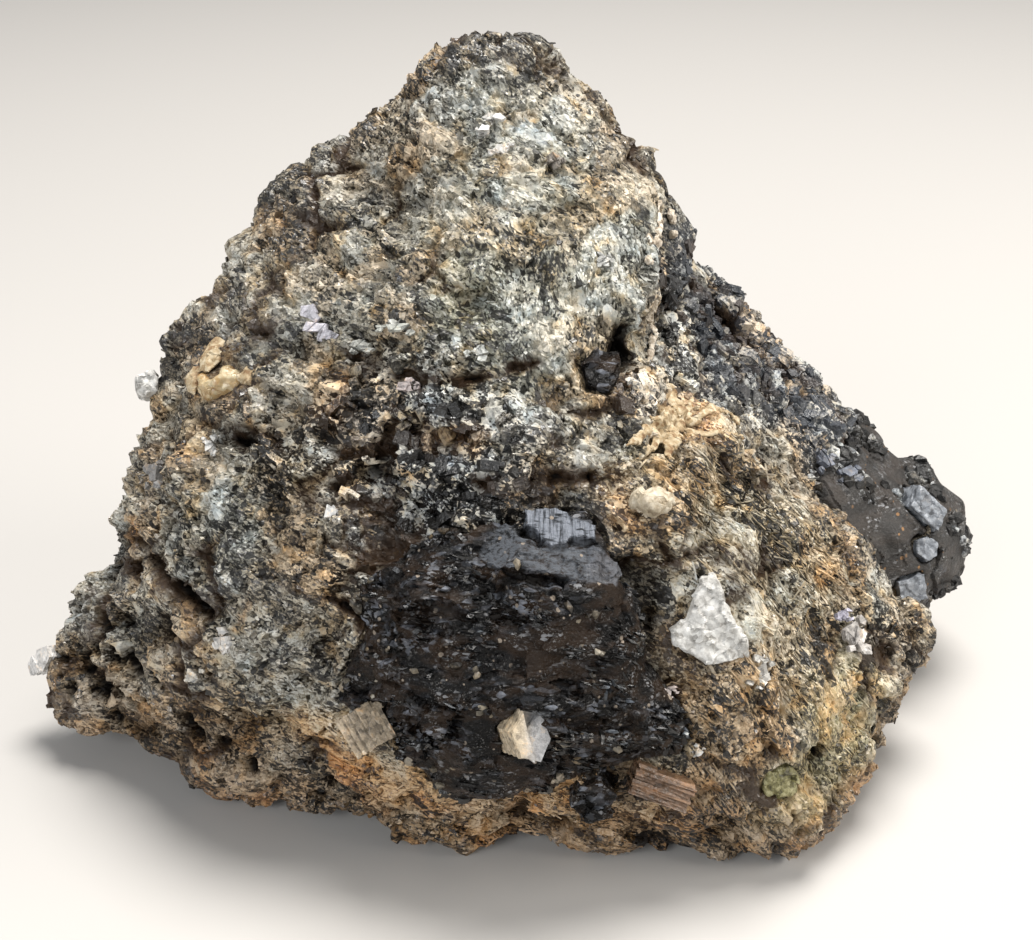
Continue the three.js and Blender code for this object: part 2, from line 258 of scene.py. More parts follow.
foliation = {
    "dips": [
        ((-20, 0, 62), 24), ((-35, -8, 45), 18), ((-28, -24, 32), 30), ((-45, -12, 14), 5),
        ((0, -3, 72), 38), ((4, -12, 62), 82), ((-8, -20, 48), 6), ((20, -12, 46), 30),
        ((30, -20, 36), 40), ((26, -30, 20), 46), ((38, -20, 14), 50), ((30, 8, 44), 42),
        ((0, -34, 8), 2), ((-20, -28, 14), 12), ((10, 30, 40), 20), ((-20, 30, 30), 35),
    ],
    "block": 9.0,
    "unrest": 30.0,  # how far a block's dip strays, degrees
}


def grainSpace(points, salt=5):
    size = foliation["block"]
    cells, centres, _, _ = nearestCell(warped(points, 5.0, 1.4, 90), size, salt)
    middle = centres * size
    places, dips = (np.array(column, float) for column in zip(*foliation["dips"]))
    weight = 1 / (((middle[:, None] - places[None]) ** 2).sum(2) + 30) ** 1.5
    dip = (weight * dips).sum(1) / weight.sum(1)
    dip = np.radians(dip + foliation["unrest"] * (cellRandom(cells, salt + 40) - 0.5))
    along = np.cos(dip)[:, None] * acrossFace - np.sin(dip)[:, None] * faceUp
    across = np.sin(dip)[:, None] * acrossFace + np.cos(dip)[:, None] * faceUp
    local = points - middle
    out = np.stack([(local * along).sum(1), (local * across).sum(1), local @ shownFace], 1)
    return out + 40 * cellRandom3(cells, salt + 50), along


# Where the rock changes: soft-edged lumps of space, each a place, a radius and a strength.

zones = {
    "pale": [
        ((3, -6, 66), 15, 1.0), ((6, -12, 58), 11, 0.9), ((-2, 3, 75), 8, 0.7), ((-8, -16, 54), 8, 0.55),
        ((14, -3, 66), 9, 0.8), ((14, 3, 74), 6, 0.7), ((1.5, -16.5, 58.5), 8, 1.0),
        ((27, -28, 30), 5, 0.5), ((-30, -20, 40), 7, 0.35), ((-34, -16, 38), 8, 0.35),
        ((-17, -6, 63), 9, 0.42), ((-24, -9, 56), 7, 0.35), ((42, -14, 25), 6, 0.4),
        ((10, 34, 46), 14, 0.6),
    ],
    "gold": [
        ((24, -20, 40), 11, 0.95), ((32, -16, 33), 10, 1.0), ((28, -28, 26), 10, 0.8),
        ((20, -30, 12), 9, 0.7), ((36, -24, 16), 8, 0.6), ((-24, -28, 16), 9, 0.5),
        ((-16, -30, 16), 7, 0.6), ((-22, -18, 46), 6, 0.35), ((2, -34, 8), 14, 0.8),
        ((-30, 28, 24), 12, 0.5), ((24, 30, 20), 12, 0.6),
    ],
    "dark": [
        ((-10, -20, 47), 10, 0.95), ((-3, -23, 45), 7, 0.8), ((21, 2, 54), 7, 1.0),
        ((27, 10, 49), 8, 1.0), ((33, 12, 42.5), 9, 1.0), ((37, 9, 37), 8, 0.85), ((21, 9, 58), 5, 0.9),
        ((24, 4, 48), 6, 1.0), ((27, 1, 43.5), 5, 0.7), ((20, -2, 48), 5, 0.8), ((12, -15, 51), 5, 0.9),
        ((-12, -28, 38), 6, 0.6), ((-26, -17, 46), 5, 0.4), ((-18, -15, 51), 5, 0.7),
        ((40, -14, 20), 7, 0.45), ((0, 36, 20), 10, 0.5),
    ],
    "olive": [
        ((37, -24, 16), 9, 1.0), ((33, -29, 10), 7, 0.9), ((14, -20, 44), 4, 0.4),
        ((-4, -12, 60), 6, 0.3),
    ],
    "rust": [
        ((19, -11, 46), 4.2, 1.0), ((23, -9, 46), 3.6, 0.9), ((17, -14, 46), 3.0, 0.8),
        ((11, -13, 53), 2.6, 0.9), ((-33, -6, 50), 3.5, 0.8), ((-31, -3, 52), 2.6, 0.7),
        ((-44, -9, 30), 3.0, 0.7), ((-20, -30, 15), 6, 0.6), ((-15, -30, 11), 5, 0.5),
        ((16, -33, 9), 4.5, 0.6), ((-37, -18, 30), 2.5, 0.6), ((-14, -32, 11), 4.5, 0.5),
        ((-5, -34, 8), 5, 0.45), ((4, -35, 8), 5, 0.5), ((15.5, -31, 30), 3.0, 0.6),
        ((11.5, -25, 43), 3.4, 0.55), ((-6.3, -22.8, 48.6), 2.6, 0.6), ((-20, -15.5, 51.5), 3.0, 0.5),
        ((-13, -21, 46.5), 2.2, 0.5), ((17.5, -31.5, 25), 3.0, 0.5),
    ],
    "orange": [
        ((-35, -5.7, 46.5), 3.5, 0.9), ((-29.7, -7.5, 49), 3, 0.7), ((-36, -8.7, 44), 3.5, 0.8),
        ((11.2, -26.8, 41.4), 3, 0.7), ((-19.7, -28.8, 16.4), 4.5, 0.8), ((-15.6, -28.8, 11.7), 5, 0.9),
        ((-9.9, -32.2, 12), 5, 0.9), ((5, -32, 10.5), 7, 0.8), ((-30.5, -27.4, 20), 3, 0.6),
        ((-41, -16.6, 21), 3, 0.5), ((26, -33, 19.8), 3, 0.5), ((-44, -8.8, 30), 3.5, 0.8),
        ((-6.3, -22.8, 48.6), 2.6, 0.7), ((0, 34, 30), 8, 0.5),
    ],
    "smoky": [
        ((27, 10, 49), 9, 1.0), ((33, 12, 42), 9, 1.0), ((39, 9, 36), 8, 1.0), ((21, 9, 58), 6, 1.0),
        ((25, 3, 47), 6, 0.8),
    ],
    "porous": [
        ((-50, -8, 14), 10, 1.0), ((-45, -14, 18), 8, 0.8), ((-30, -24, 8), 12, 0.5),
        ((34, -28, 6), 9, 0.5), ((-44, -2, 34), 6, 0.4),
    ],
}


def zoneWeight(points, name):
    wandering = warped(points, 6.0, 3.0, 300)
    total = np.zeros(len(points))
    for place, radius, strength in zones[name]:
        near = np.clip(1.6 - 1.3 * (awayFrom(place, wandering) / radius), 0, 1)
        total = np.maximum(total, strength * near)
    return total


# Meshes in and out of numpy


def readOut(rows, field, width=1, kind=float):
    flat = np.empty(len(rows) * width, kind)
    rows.foreach_get(field, flat)
    return flat.reshape(-1, width) if width > 1 else flat


def pointsOf(mesh):
    return readOut(mesh.vertices, "co", 3) / mm


def setPoints(mesh, points):
    mesh.vertices.foreach_set("co", (points * mm).ravel())
    mesh.update()


def normalsOf(mesh):
    return readOut(mesh.vertex_normals, "vector", 3)


def swell(mesh, height):
    setPoints(mesh, pointsOf(mesh) + normalsOf(mesh) * height[:, None])


def aboveFloor(mesh):
    points = pointsOf(mesh)
    points[:, 2] = np.maximum(points[:, 2], 0)
    setPoints(mesh, points)
    return points


def store(mesh, name, values, domain="POINT"):
    kind, field = ("FLOAT_VECTOR", "vector") if values.ndim == 2 else ("FLOAT", "value")
    attribute = mesh.attributes.new(name, kind, domain)
    attribute.data.foreach_set(field, values.astype(np.float32).ravel())


def stored(piece, name):
    return readOut(piece.data.attributes[name].data, "value")


def dropStored(mesh, names):
    for name in names:
        spare = mesh.attributes.get(name)
        if spare:
            mesh.attributes.remove(spare)


def meshFrom(name, points, faces):
    mesh = bpy.data.meshes.new(name)
    mesh.from_pydata([tuple(p) for p in points * mm], [], [tuple(f) for f in faces])
    mesh.update()
    return mesh


def surfaceOf(points, faces):
    return BVHTree.FromPolygons([tuple(p) for p in points], [tuple(f) for f in faces])


def joined(parts):  # points and faces of several parts in one
    firsts = np.cumsum([0] + [len(points) for points, _ in parts])
    faces = [np.array(faces) + first for (_, faces), first in zip(parts, firsts)]
    return np.concatenate([points for points, _ in parts]), np.concatenate(faces)


# The object with its modifiers worked into its mesh, and none left on it.
def settled(piece):
    graph = bpy.context.evaluated_depsgraph_get()
    bare = piece.evaluated_get(graph)
    mesh = bpy.data.meshes.new_from_object(bare, preserve_all_data_layers=True, depsgraph=graph)
    piece.modifiers.clear()
    old = piece.data
    piece.data = mesh
    bpy.data.meshes.remove(old)
    return piece


def mergedCopy(nodeName):  # points and triangles of a solid, with shared corners
    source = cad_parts[nodeName].data
    points = pointsOf(source)
    source.calc_loop_triangles()
    corners = np.array([tuple(t.vertices) for t in source.loop_triangles])
    _, first, inverse = np.unique(np.round(points, 3), axis=0, return_index=True, return_inverse=True)
    triangles = inverse.ravel()[corners]
    real = (triangles != np.roll(triangles, -1, axis=1)).all(1)
    return points[first], triangles[real]


def crossOf(points, triangles):
    a, b, c = (points[triangles[:, k]] for k in range(3))
    return np.cross(b - a, c - a)


def grown(points, triangles, growth):
    faces = crossOf(points, triangles)
    normals = np.zeros_like(points)
    for k in range(3):
        np.add.at(normals, triangles[:, k], faces)
    lengths = np.linalg.norm(normals, axis=1, keepdims=True)
    return points + growth * normals / np.maximum(lengths, 1e-9)


def remeshed(name, parts, voxel, smoothing):
    piece = asObject(name, meshFrom(name, *joined(parts)))
    net = piece.modifiers.new("net", "REMESH")
    net.mode = "VOXEL"
    net.voxel_size = voxel * mm
    soft = piece.modifiers.new("soft", "SMOOTH")
    soft.factor = 0.5
    soft.iterations = smoothing
    return settled(piece)


# Only the largest shell is kept, the outer skin: those left inside are dropped.
def keepLargest(piece):
    mesh = piece.data
    edges = readOut(mesh.edges, "vertices", 2, whole)
    label = np.arange(len(mesh.vertices))
    while True:
        low = np.minimum(label[edges[:, 0]], label[edges[:, 1]])
        new = label.copy()
        np.minimum.at(new, edges[:, 0], low)
        np.minimum.at(new, edges[:, 1], low)
        new = new[new]
        if (new == label).all():
            break
        label = new
    keep = label == np.bincount(label).argmax()
    if keep.all():
        return piece
    loops = readOut(mesh.loops, "vertex_index", 1, whole)
    starts = readOut(mesh.polygons, "loop_start", 1, whole)
    totals = readOut(mesh.polygons, "loop_total", 1, whole)
    renumber = np.cumsum(keep) - 1
    faces = [renumber[loops[s : s + t]].tolist() for s, t in zip(starts, totals) if keep[loops[s]]]
    piece.data = meshFrom(mesh.name, pointsOf(mesh)[keep], faces)
    bpy.data.meshes.remove(mesh)
    return piece


# A solid's own outline as a fine net of even squares.
def crystalSkin(node, form):
    return keepLargest(remeshed(node + "_crystal", [mergedCopy(node)], form["voxel"], form["smoothing"]))


def lighter(piece, triangles):
    fewer = piece.modifiers.new("fewer", "DECIMATE")
    fewer.use_collapse_triangulate = True
    fewer.ratio = min(1, triangles / (2 * len(piece.data.polygons)))
    return settled(piece)


# The schist

schistForm = {
    "voxel": 0.42,
    "smoothing": 8,
    "triangles": 194000,
    "swells": ((14.0, 1.0), (6.0, 0.75)),  # size and height of the soft undulations
    "platy": (0.8, 1.9, 1.2),  # grains are wider than high
    "knobWarps": ((8.0, 3.2), (2.6, 0.8)),  # size and reach of what bends the knobs
    "smallKnobWarps": ((4.0, 2.0), (1.5, 0.5)),
    "knobs": (9.5, 1.0),  # size and swell
    "smallKnobs": (4.4, 0.55),
    "lumps": (6.5, 0.8, 1.7),  # size, step and tilt
    "grains": (2.7, 0.55, 0.85),
    "chips": (1.15, 0.18, 0.30),
    "ledgeEvery": 3.1,
    "ledgeDepth": 0.6,
    "pitSpacing": 3.4,
    "pitRadius": 0.85,
    "pitDepth": 2.0,
    "creaseDepth": 0.9,
    "limits": (1.35, 2.4),  # how far the relief goes out and in
    "seatDepth": 1.5,
    "largeSeatDepth": 3.4,
    "growth": 0.45,  # how far the skin goes out over the crystals
    "largeGrowth": 0.12,
    "foot": 0.35,  # nothing stands out below this height
    "cracks": [  # corner points, width and depth
        ([(-45.5, -8.5, 31), (-40.5, -15, 30.5), (-36.5, -19.5, 29.5), (-33, -23, 29)], 0.8, 1.9),
        ([(-45, -8, 26.5), (-40, -15, 27), (-34, -22, 28.5)], 0.6, 1.2),
        ([(-20, -9, 55), (-12, -17, 54.5), (-3, -19, 55), (3, -18, 56.5)], 0.5, 0.8),
        ([(-31, -12, 45.5), (-24, -17, 43), (-18, -21, 43.5)], 0.55, 1.0),
        ([(-3, -25, 46), (3, -24.5, 46.3), (8, -24, 46)], 0.8, 1.5),
        ([(17, 4, 66), (17.2, 1, 60), (17.4, -2, 54), (17.6, -5, 50.5)], 0.7, 1.3),
        ([(21, -13, 43.5), (27, -15, 40), (33, -15, 36)], 0.5, 0.9),
        ([(-24, -27, 35), (-16, -30, 34), (-14, -31, 29)], 0.5, 0.9),
        ([(22, 9, 55), (27, 12, 49), (33, 9, 43)], 0.7, 1.2),
    ],
    "holes": [  # small round ones, with their radius
        ((-48.5, -11.1, 19.5), 1.15), ((-49.5, -11.8, 16.8), 0.95), ((-47, -13.4, 17.2), 1.1),
        ((-49.1, -13.4, 12.3), 1.3), ((-44.3, -15.6, 16.6), 1.0), ((-46.6, -14.4, 12.6), 0.8),
        ((-42.4, -16.6, 13.0), 0.85), ((-51.0, -9.6, 14.2), 0.85), ((-45.4, -12.6, 21.6), 0.8),
        ((-40.5, -18.0, 17.6), 0.9), ((-38.0, -20.6, 12.4), 0.9), ((-33.6, -23.4, 10.4), 0.8),
    ],
    "waist": [  # where the left edge draws in and steps out again: place, radius and rise
        ((-47.0, -4.5, 30), 4.5, -1.2), ((-48.5, -4, 25.6), 4.6, -2.9), ((-53.4, -4, 20.6), 3.0, 1.4),
        ((-55.3, -6, 16.6), 3.2, 1.5), ((-54.6, -10, 9.6), 3.8, 1.1),
    ],
    "calmed": [((21, 11.5, 60.5), 6.0)],  # thin edges that carry little relief
    "hollows": [
        ((5.5, -25.8, 43.6), 1.7, 0.8), ((12.4, -13.4, 56), 2.3, 3.2), ((10, -13, 58), 1.4, 1.2),
        ((-14, -20, 45), 2.2, 0.8), ((-23, -8, 54), 2.2, 1.2), ((2, -24, 45.5), 2.2, 1.0),
        ((-38, -17, 24), 3.0, 1.4), ((-30, -14, 46), 1.8, 1.0),
    ],
}

largeCrystals = [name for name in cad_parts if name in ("front_schorl", "side_schorl")]
smallCrystals = [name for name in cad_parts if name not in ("schist_matrix", *largeCrystals)]


# One inside or close around the crystals, falling to nothing at one and a half times the reach.
def seatOf(points, crystals, reach):
    tree = surfaceOf(*joined(crystals))
    seat = np.zeros(len(points))
    for index, point in enumerate(points):
        place, normal, _, distance = tree.find_nearest(Vector(point), 5.0)
        if place is not None:
            inside = (Vector(point) - place).dot(normal) < 0
            seat[index] = 1 if inside else min(1, max(0, 1.5 - distance / reach))
    return seat


# How far each place on the rock stands out or in, how deep in a pit it lies, how near a crystal's seat,
# and the tone, hue and crease of its lump.
def schistRelief(points, large, small):
    form = schistForm
    space, _ = grainSpace(points)
    platy = space * form["platy"]
    dark, porous = zoneWeight(points, "dark"), zoneWeight(points, "porous")
    calm = 1 - 0.5 * np.maximum(zoneWeight(points, "pale"), 0.35 * zoneWeight(points, "gold"))
    bend, waver = form["knobWarps"]
    wandering = warped(warped(points, *bend, 12), *waver, 16) * (1, 1, 1.2)
    knob, crease, margin, tone, hue = knobbly(wandering, *form["knobs"], 13)
    bend, waver = form["smallKnobWarps"]
    wandering = warped(warped(points, *bend, 14), *waver, 17)
    smallKnob, smallCrease, smallMargin, smallTone, smallHue = knobbly(wandering, *form["smallKnobs"], 15)
    height = (knob + smallKnob) * calm
    for index, (size, rise) in enumerate(form["swells"]):
        height += rise * calm * (softNoise(points, size, 18 + index) - 0.2)
    gaping = np.clip(0.25 + 1.3 * softNoise(points, 7.0, 24) + 0.7 * dark, 0, 1)
    smallGaping = 0.75 * np.clip(0.2 + 1.3 * softNoise(points, 4.5, 25) + 0.5 * dark, 0, 1)
    crease = np.maximum(crease * gaping, smallCrease * smallGaping) * calm
    margin = np.maximum(margin * gaping, smallMargin * smallGaping) * calm
    height -= form["creaseDepth"] * crease
    lump = [0.4 * tone + 0.6 * smallTone, 0.5 * hue + 0.5 * smallHue, 0.5 * crease + 0.5 * margin]
    lump = np.stack(lump, 1)
    height += brokenHeight(warped(points, 4.0, 0.7, 11), *form["lumps"], 21)
    height += brokenHeight(platy, *form["grains"], 31) * (1 + 0.6 * dark)
    height += brokenHeight(platy, *form["chips"], 41)
    layer = space[:, 1] / form["ledgeEvery"] + 0.5 * softNoise(points, 5.0, 61)
    layered = np.clip(0.5 + 1.2 * softNoise(points, 9.0, 62), 0, 1)
    height += form["ledgeDepth"] * layered * (layer - np.floor(layer) - 0.5) * 1.6
    pits, _, fromCentre, _ = nearestCell(points, form["pitSpacing"], 71)
    pitRadius = form["pitRadius"] / form["pitSpacing"] * (0.5 + cellRandom(pits, 72))
    pitted = (cellRandom(pits, 73) < 0.10 + 0.75 * porous) & (porous > 0.12)
    pit = np.where(pitted, np.clip(1.4 - fromCentre / pitRadius, 0, 1), 0)
    for place, radius in form["holes"]:
        away = np.linalg.norm((points - np.array(place)) * (1, 0.45, 1), axis=1) / radius
        pit = np.maximum(pit, np.clip(1.5 - away, 0, 1))
    hollow, crack = np.zeros((2, len(points)))
    for place, radius, depth in form["hollows"]:
        hollow = np.maximum(hollow, depth * np.clip(1.3 - awayFrom(place, points) / radius, 0, 1))
    wavering = warped(points, 1.6, 0.5, 81)
    for line, width, depth in form["cracks"]:
        away = fromLine(wavering, line) / width
        crack = np.maximum(crack, depth * np.clip(1.25 - away, 0, 1))
        lump[:, 2] = np.maximum(lump[:, 2], np.clip(1.1 - 0.4 * away, 0, 0.9))
    largeSeat, smallSeat = seatOf(points, large, 0.40), seatOf(points, small, 0.6)
    seat = np.maximum(largeSeat, smallSeat)
    sunk = np.maximum(form["largeSeatDepth"] * largeSeat, form["seatDepth"] * smallSeat)
    highest, lowest = form["limits"]
    height = np.where(height > 0, highest * np.tanh(height / highest), lowest * np.tanh(height / lowest))
    beside = seatOf(points, small, 1.6)
    height = np.where(beside > 0, np.maximum(height, -0.9 + 0.8 * beside), height)
    height = height * (1 - 0.85 * seat) - pit * form["pitDepth"] - hollow - crack - sunk
    height += pushed(points, form["waist"])
    onFloor = points[:, 2] < form["foot"]
    height[onFloor] = np.minimum(height[onFloor], 0)
    return height, np.clip(pit + 0.4 * hollow + 0.5 * crack, 0, 1), seat, lump


# One on sharp ridges, where the surface bends away on both sides, nothing where it is flat.
def fanning(mesh):
    edges = readOut(mesh.edges, "vertices", 2, whole)
    normals = normalsOf(mesh)
    for _ in range(3):
        middle, count = normals.copy(), np.ones(len(normals))
        for here, there in ((0, 1), (1, 0)):
            np.add.at(middle, edges[:, here], normals[edges[:, there]])
            np.add.at(count, edges[:, here], 1)
        normals = middle / count[:, None]
    return smoothStep(0.93, 0.75, np.linalg.norm(normals, axis=1))


# Grain coordinates at the corners of faces, each face wholly in the block of its own middle.
def cornerSpace(corners, middles, owner):
    inBlock, along = grainSpace(middles)
    across = np.cross(along, shownFace)
    across *= np.sign(across @ faceUp)[:, None] + 1e-9
    local = corners - middles[owner]
    shift = [(local * along[owner]).sum(1), (local * across[owner]).sum(1), local @ shownFace]
    return inBlock[owner] + np.stack(shift, 1)


def makeSchist():
    form = schistForm
    large, small = ([mergedCopy(name) for name in names] for names in (largeCrystals, smallCrystals))
    parts = [mergedCopy("schist_matrix")]
    for crystals, growth in ((large, form["largeGrowth"]), (small, form["growth"])):
        parts += [(grown(points, faces, growth), faces) for points, faces in crystals]
    piece = keepLargest(remeshed("schist_rock", parts, form["voxel"], form["smoothing"]))
    mesh = piece.data
    points = pointsOf(mesh)
    height, pit, seat, lump = schistRelief(points, large, small)
    calm = 1 - 0.7 * fanning(mesh)
    for place, radius in form["calmed"]:
        calm *= 1 - 0.8 * smoothStep(1.3, 0.5, awayFrom(place, points) / radius)
    height *= calm
    moved = points + normalsOf(mesh) * height[:, None]
    moved[:, 2] = np.maximum(moved[:, 2], 0)
    setPoints(mesh, moved)
    # How hollow each place lies, which the colour darkens as painted shade.
    store(mesh, "cavity", np.clip(0.34 - 0.26 * height + 0.62 * pit, 0, 1))
    store(mesh, "seat", seat)
    store(mesh, "lump", lump)
    mesh = lighter(piece, form["triangles"]).data
    points = aboveFloor(mesh)
    for name in zones:
        store(mesh, name, zoneWeight(points, name))
    store(mesh, "fibre", grainSpace(points)[1])
    corner = readOut(mesh.loops, "vertex_index", 1, whole)
    owner = np.repeat(np.arange(len(corner) // 3), 3)
    middles = points[corner].reshape(-1, 3, 3).mean(1)
    store(mesh, "grainSpace", cornerSpace(points[corner], middles, owner), "CORNER")
    return piece


schist = makeSchist()
rockSurface = surfaceOf(pointsOf(schist.data), [f.vertices for f in schist.data.polygons])
print("schist:", len(schist.data.polygons), "triangles")




# Node trees


# A node tree with short ways to add to it. Inputs go by name, or by number after an underscore.
class Net:
    def __init__(self, tree):
        self.tree = tree

    def feed(self, node, **inputs):
        for key, value in inputs.items():
            socket = node.inputs[int(key[1:]) if key[0] == "_" else key.replace("_", " ")]
            if isinstance(value, bpy.types.NodeSocket):
                self.tree.links.new(value, socket)
            else:
                socket.default_value = value
        return node

    def put(self, kind, settings=None, **inputs):
        node = self.tree.nodes.new(kind)
        for key, value in (settings or {}).items():
            setattr(node, key, value)
        return self.feed(node, **inputs).outputs

    def inOrder(self, kind, settings, values):
        return self.put(kind, settings, **{f"_{k}": value for k, value in enumerate(values)})[0]

    def sums(self, operation, *values):
        return self.inOrder("ShaderNodeMath", {"operation": operation}, values)

    def times(self, first, second):
        return self.sums("MULTIPLY", first, second)

    def line(self, value, slope, start):
        return self.sums("MULTIPLY_ADD", value, slope, start)

    def swayed(self, value, *others, middle=0.5):  # moved as each of the others strays from its middle
        for other, by in others:
            value = self.line(self.sums("SUBTRACT", other, middle), by, value)
        return value

    def piled(self, *layers):
        total = 0.0
        for value, share in layers:
            total = self.line(value, share, total)
        return total

    def vectors(self, operation, *values):
        return self.inOrder("ShaderNodeVectorMath", {"operation": operation}, values)

    def stretched(self, vector, by):
        return self.vectors("MULTIPLY", vector, by)

    def scaled(self, vector, by):
        return self.put("ShaderNodeVectorMath", {"operation": "SCALE"}, _0=vector, Scale=by)[0]

    def span(self, value, low=0.0, high=1.0, least=0.0, most=1.0):
        ends = {"From_Min": low, "From_Max": high, "To_Min": least, "To_Max": most}
        return self.put("ShaderNodeMapRange", None, Value=value, **ends)[0]

    def noise(self, where, scale, detail=2.0, roughness=0.5):
        fineness = {"Detail": detail, "Roughness": roughness}
        return self.put("ShaderNodeTexNoise", None, Vector=where, Scale=scale, **fineness)[0]

    def voronoi(self, where, scale):
        return self.put("ShaderNodeTexVoronoi", {"feature": "F1"}, Vector=where, Scale=scale)

    def stored(self, name, output="Fac"):
        return self.put("ShaderNodeAttribute", {"attribute_name": name})[output]

    def axes(self, vector):
        return self.put("ShaderNodeSeparateXYZ", None, Vector=vector)

    def mixed(self, factor, first, second):
        return self.put("ShaderNodeMix", {"data_type": "FLOAT"}, _0=factor, _2=first, _3=second)[0]

    def washed(self, first, second, factor, how="MIX"):
        first, second = ((*c, 1) if isinstance(c, tuple) else c for c in (first, second))
        settings = {"data_type": "RGBA", "blend_type": how}
        return self.put("ShaderNodeMix", settings, _0=factor, _6=first, _7=second)[2]

    def ramp(self, pick, stops):
        colours = self.put("ShaderNodeValToRGB", None, Fac=pick)["Color"]
        scale = colours.node.color_ramp
        scale.interpolation = "LINEAR"
        while len(scale.elements) < len(stops):
            scale.elements.new(0.5)
        for element, (place, colour) in zip(scale.elements, stops):
            element.position = place
            element.color = (*colour, 1)
        return colours

    def group(self, group, **inputs):
        return self.put("ShaderNodeGroup", {"node_tree": group}, **inputs)

    def plates(self, where, size, flatness):
        return self.group(tiltedPlates, Vector=where, Size=size, Flatness=flatness)

    def millimetres(self):
        return self.scaled(self.put("ShaderNodeTexCoord")["Object"], 1000.0)

    def finish(self, surface, colour, roughness, relief, **others):
        bump = self.put("ShaderNodeBump", None, Height=relief, Distance=mm, Strength=1.0)[0]
        self.feed(surface, Base_Color=colour, Roughness=roughness, Normal=bump, **others)


def newGroup(name, kind, inputs, outputs):
    tree = bpy.data.node_groups.new(name, kind)
    labels = {}
    for label, sort, value in inputs:
        socket = tree.interface.new_socket(label, in_out="INPUT", socket_type="NodeSocket" + sort)
        if value is not None:
            socket.default_value = value
        labels[label] = socket.identifier
    for label, sort in outputs:
        tree.interface.new_socket(label, in_out="OUTPUT", socket_type="NodeSocket" + sort)
    return Net(tree), tree.nodes.new("NodeGroupInput").outputs, tree.nodes.new("NodeGroupOutput"), labels


def newMaterial(name):
    material = bpy.data.materials.new(name)
    material.use_nodes = True
    return material, Net(material.node_tree), material.node_tree.nodes["Principled BSDF"]


# Tilted plates: one random tone for each cell, and the height of its tilted face.
def makePlateGroup():
    net, given, result, _ = newGroup(
        "tiltedPlates", "ShaderNodeTree",
        [("Vector", "Vector", None), ("Size", "Float", 1.0), ("Flatness", "Float", 2.0)],
        [("Tone", "Float"), ("Height", "Float"), ("Second", "Float")],
    )
    scale = net.sums("DIVIDE", 1.0, given["Size"])
    flat = net.times(scale, given["Flatness"])
    stretch = net.put("ShaderNodeCombineXYZ", None, X=scale, Y=flat, Z=scale)[0]
    where = net.stretched(given["Vector"], stretch)
    cells = net.voronoi(where, 1.0)
    offset = net.vectors("SUBTRACT", where, cells["Position"])
    slope = net.vectors("SUBTRACT", cells["Color"], (0.5, 0.5, 0.5))
    tilt = net.put("ShaderNodeVectorMath", {"operation": "DOT_PRODUCT"}, _0=offset, _1=slope)["Value"]
    chance = net.put("ShaderNodeSeparateColor", None, Color=cells["Color"])
    height = net.sums("ADD", net.times(chance["Blue"], 0.5), net.times(tilt, 1.3))
    net.feed(result, Tone=chance["Red"], Second=chance["Green"], Height=height)
    return net.tree


tiltedPlates = makePlateGroup()

# What the rock is made of, from the darkest mineral to the brightest, in each kind of place.
minerals = {
    "grey": [
        (0.0, (0.006, 0.005, 0.004)), (0.14, (0.024, 0.020, 0.015)), (0.30, (0.086, 0.075, 0.059)),
        (0.48, (0.186, 0.163, 0.130)), (0.68, (0.266, 0.238, 0.196)), (0.86, (0.355, 0.326, 0.280)),
        (0.98, (0.48, 0.45, 0.40)),
    ],
    "pale": [
        (0.0, (0.014, 0.014, 0.012)), (0.13, (0.055, 0.054, 0.045)), (0.28, (0.142, 0.140, 0.119)),
        (0.48, (0.232, 0.230, 0.202)), (0.68, (0.312, 0.309, 0.275)), (0.86, (0.405, 0.400, 0.362)),
        (0.98, (0.53, 0.52, 0.48)),
    ],
    "gold": [
        (0.0, (0.010, 0.008, 0.005)), (0.14, (0.052, 0.040, 0.025)), (0.30, (0.176, 0.140, 0.088)),
        (0.50, (0.320, 0.266, 0.185)), (0.70, (0.405, 0.348, 0.256)), (0.86, (0.46, 0.41, 0.32)),
        (0.98, (0.57, 0.52, 0.44)),
    ],
    "dark": [
        (0.0, (0.0012, 0.0012, 0.0014)), (0.28, (0.005, 0.0055, 0.007)), (0.42, (0.036, 0.041, 0.050)),
        (0.53, (0.137, 0.150, 0.174)), (0.64, (0.285, 0.30, 0.325)), (0.78, (0.54, 0.545, 0.54)),
        (1.0, (0.78, 0.77, 0.74)),
    ],
    "olive": [
        (0.0, (0.040, 0.034, 0.016)), (0.18, (0.200, 0.182, 0.104)), (0.48, (0.370, 0.345, 0.218)),
        (0.75, (0.45, 0.42, 0.295)), (0.94, (0.50, 0.47, 0.36)),
    ],
    "rust": [
        (0.0, (0.06, 0.034, 0.016)), (0.25, (0.20, 0.125, 0.065)), (0.50, (0.36, 0.255, 0.150)),
        (0.75, (0.48, 0.37, 0.245)), (0.95, (0.62, 0.53, 0.41)),
    ],
}
# How the colour leans: from grain to grain, from lump to lump, and where water has seeped.
hues = {
    "grain": [
        (0.0, (1.05, 0.99, 0.92)), (0.2, (1.0, 1.0, 0.98)), (0.8, (1.0, 1.0, 1.0)),
        (1.0, (0.96, 0.99, 1.04)),
    ],
    "lump": [
        (0.16, (1.14, 0.95, 0.74)), (0.34, (1.05, 0.98, 0.88)), (0.50, (1.0, 1.0, 0.96)),
        (0.66, (0.96, 0.99, 1.0)), (0.84, (0.92, 0.98, 1.03)),
    ],
    "seeping": [
        (0.34, (0.92, 0.99, 1.05)), (0.46, (1.0, 1.0, 1.0)), (0.57, (1.01, 0.99, 0.94)),
        (0.67, (1.07, 0.91, 0.69)), (0.79, (1.03, 0.79, 0.51)),
    ],
}
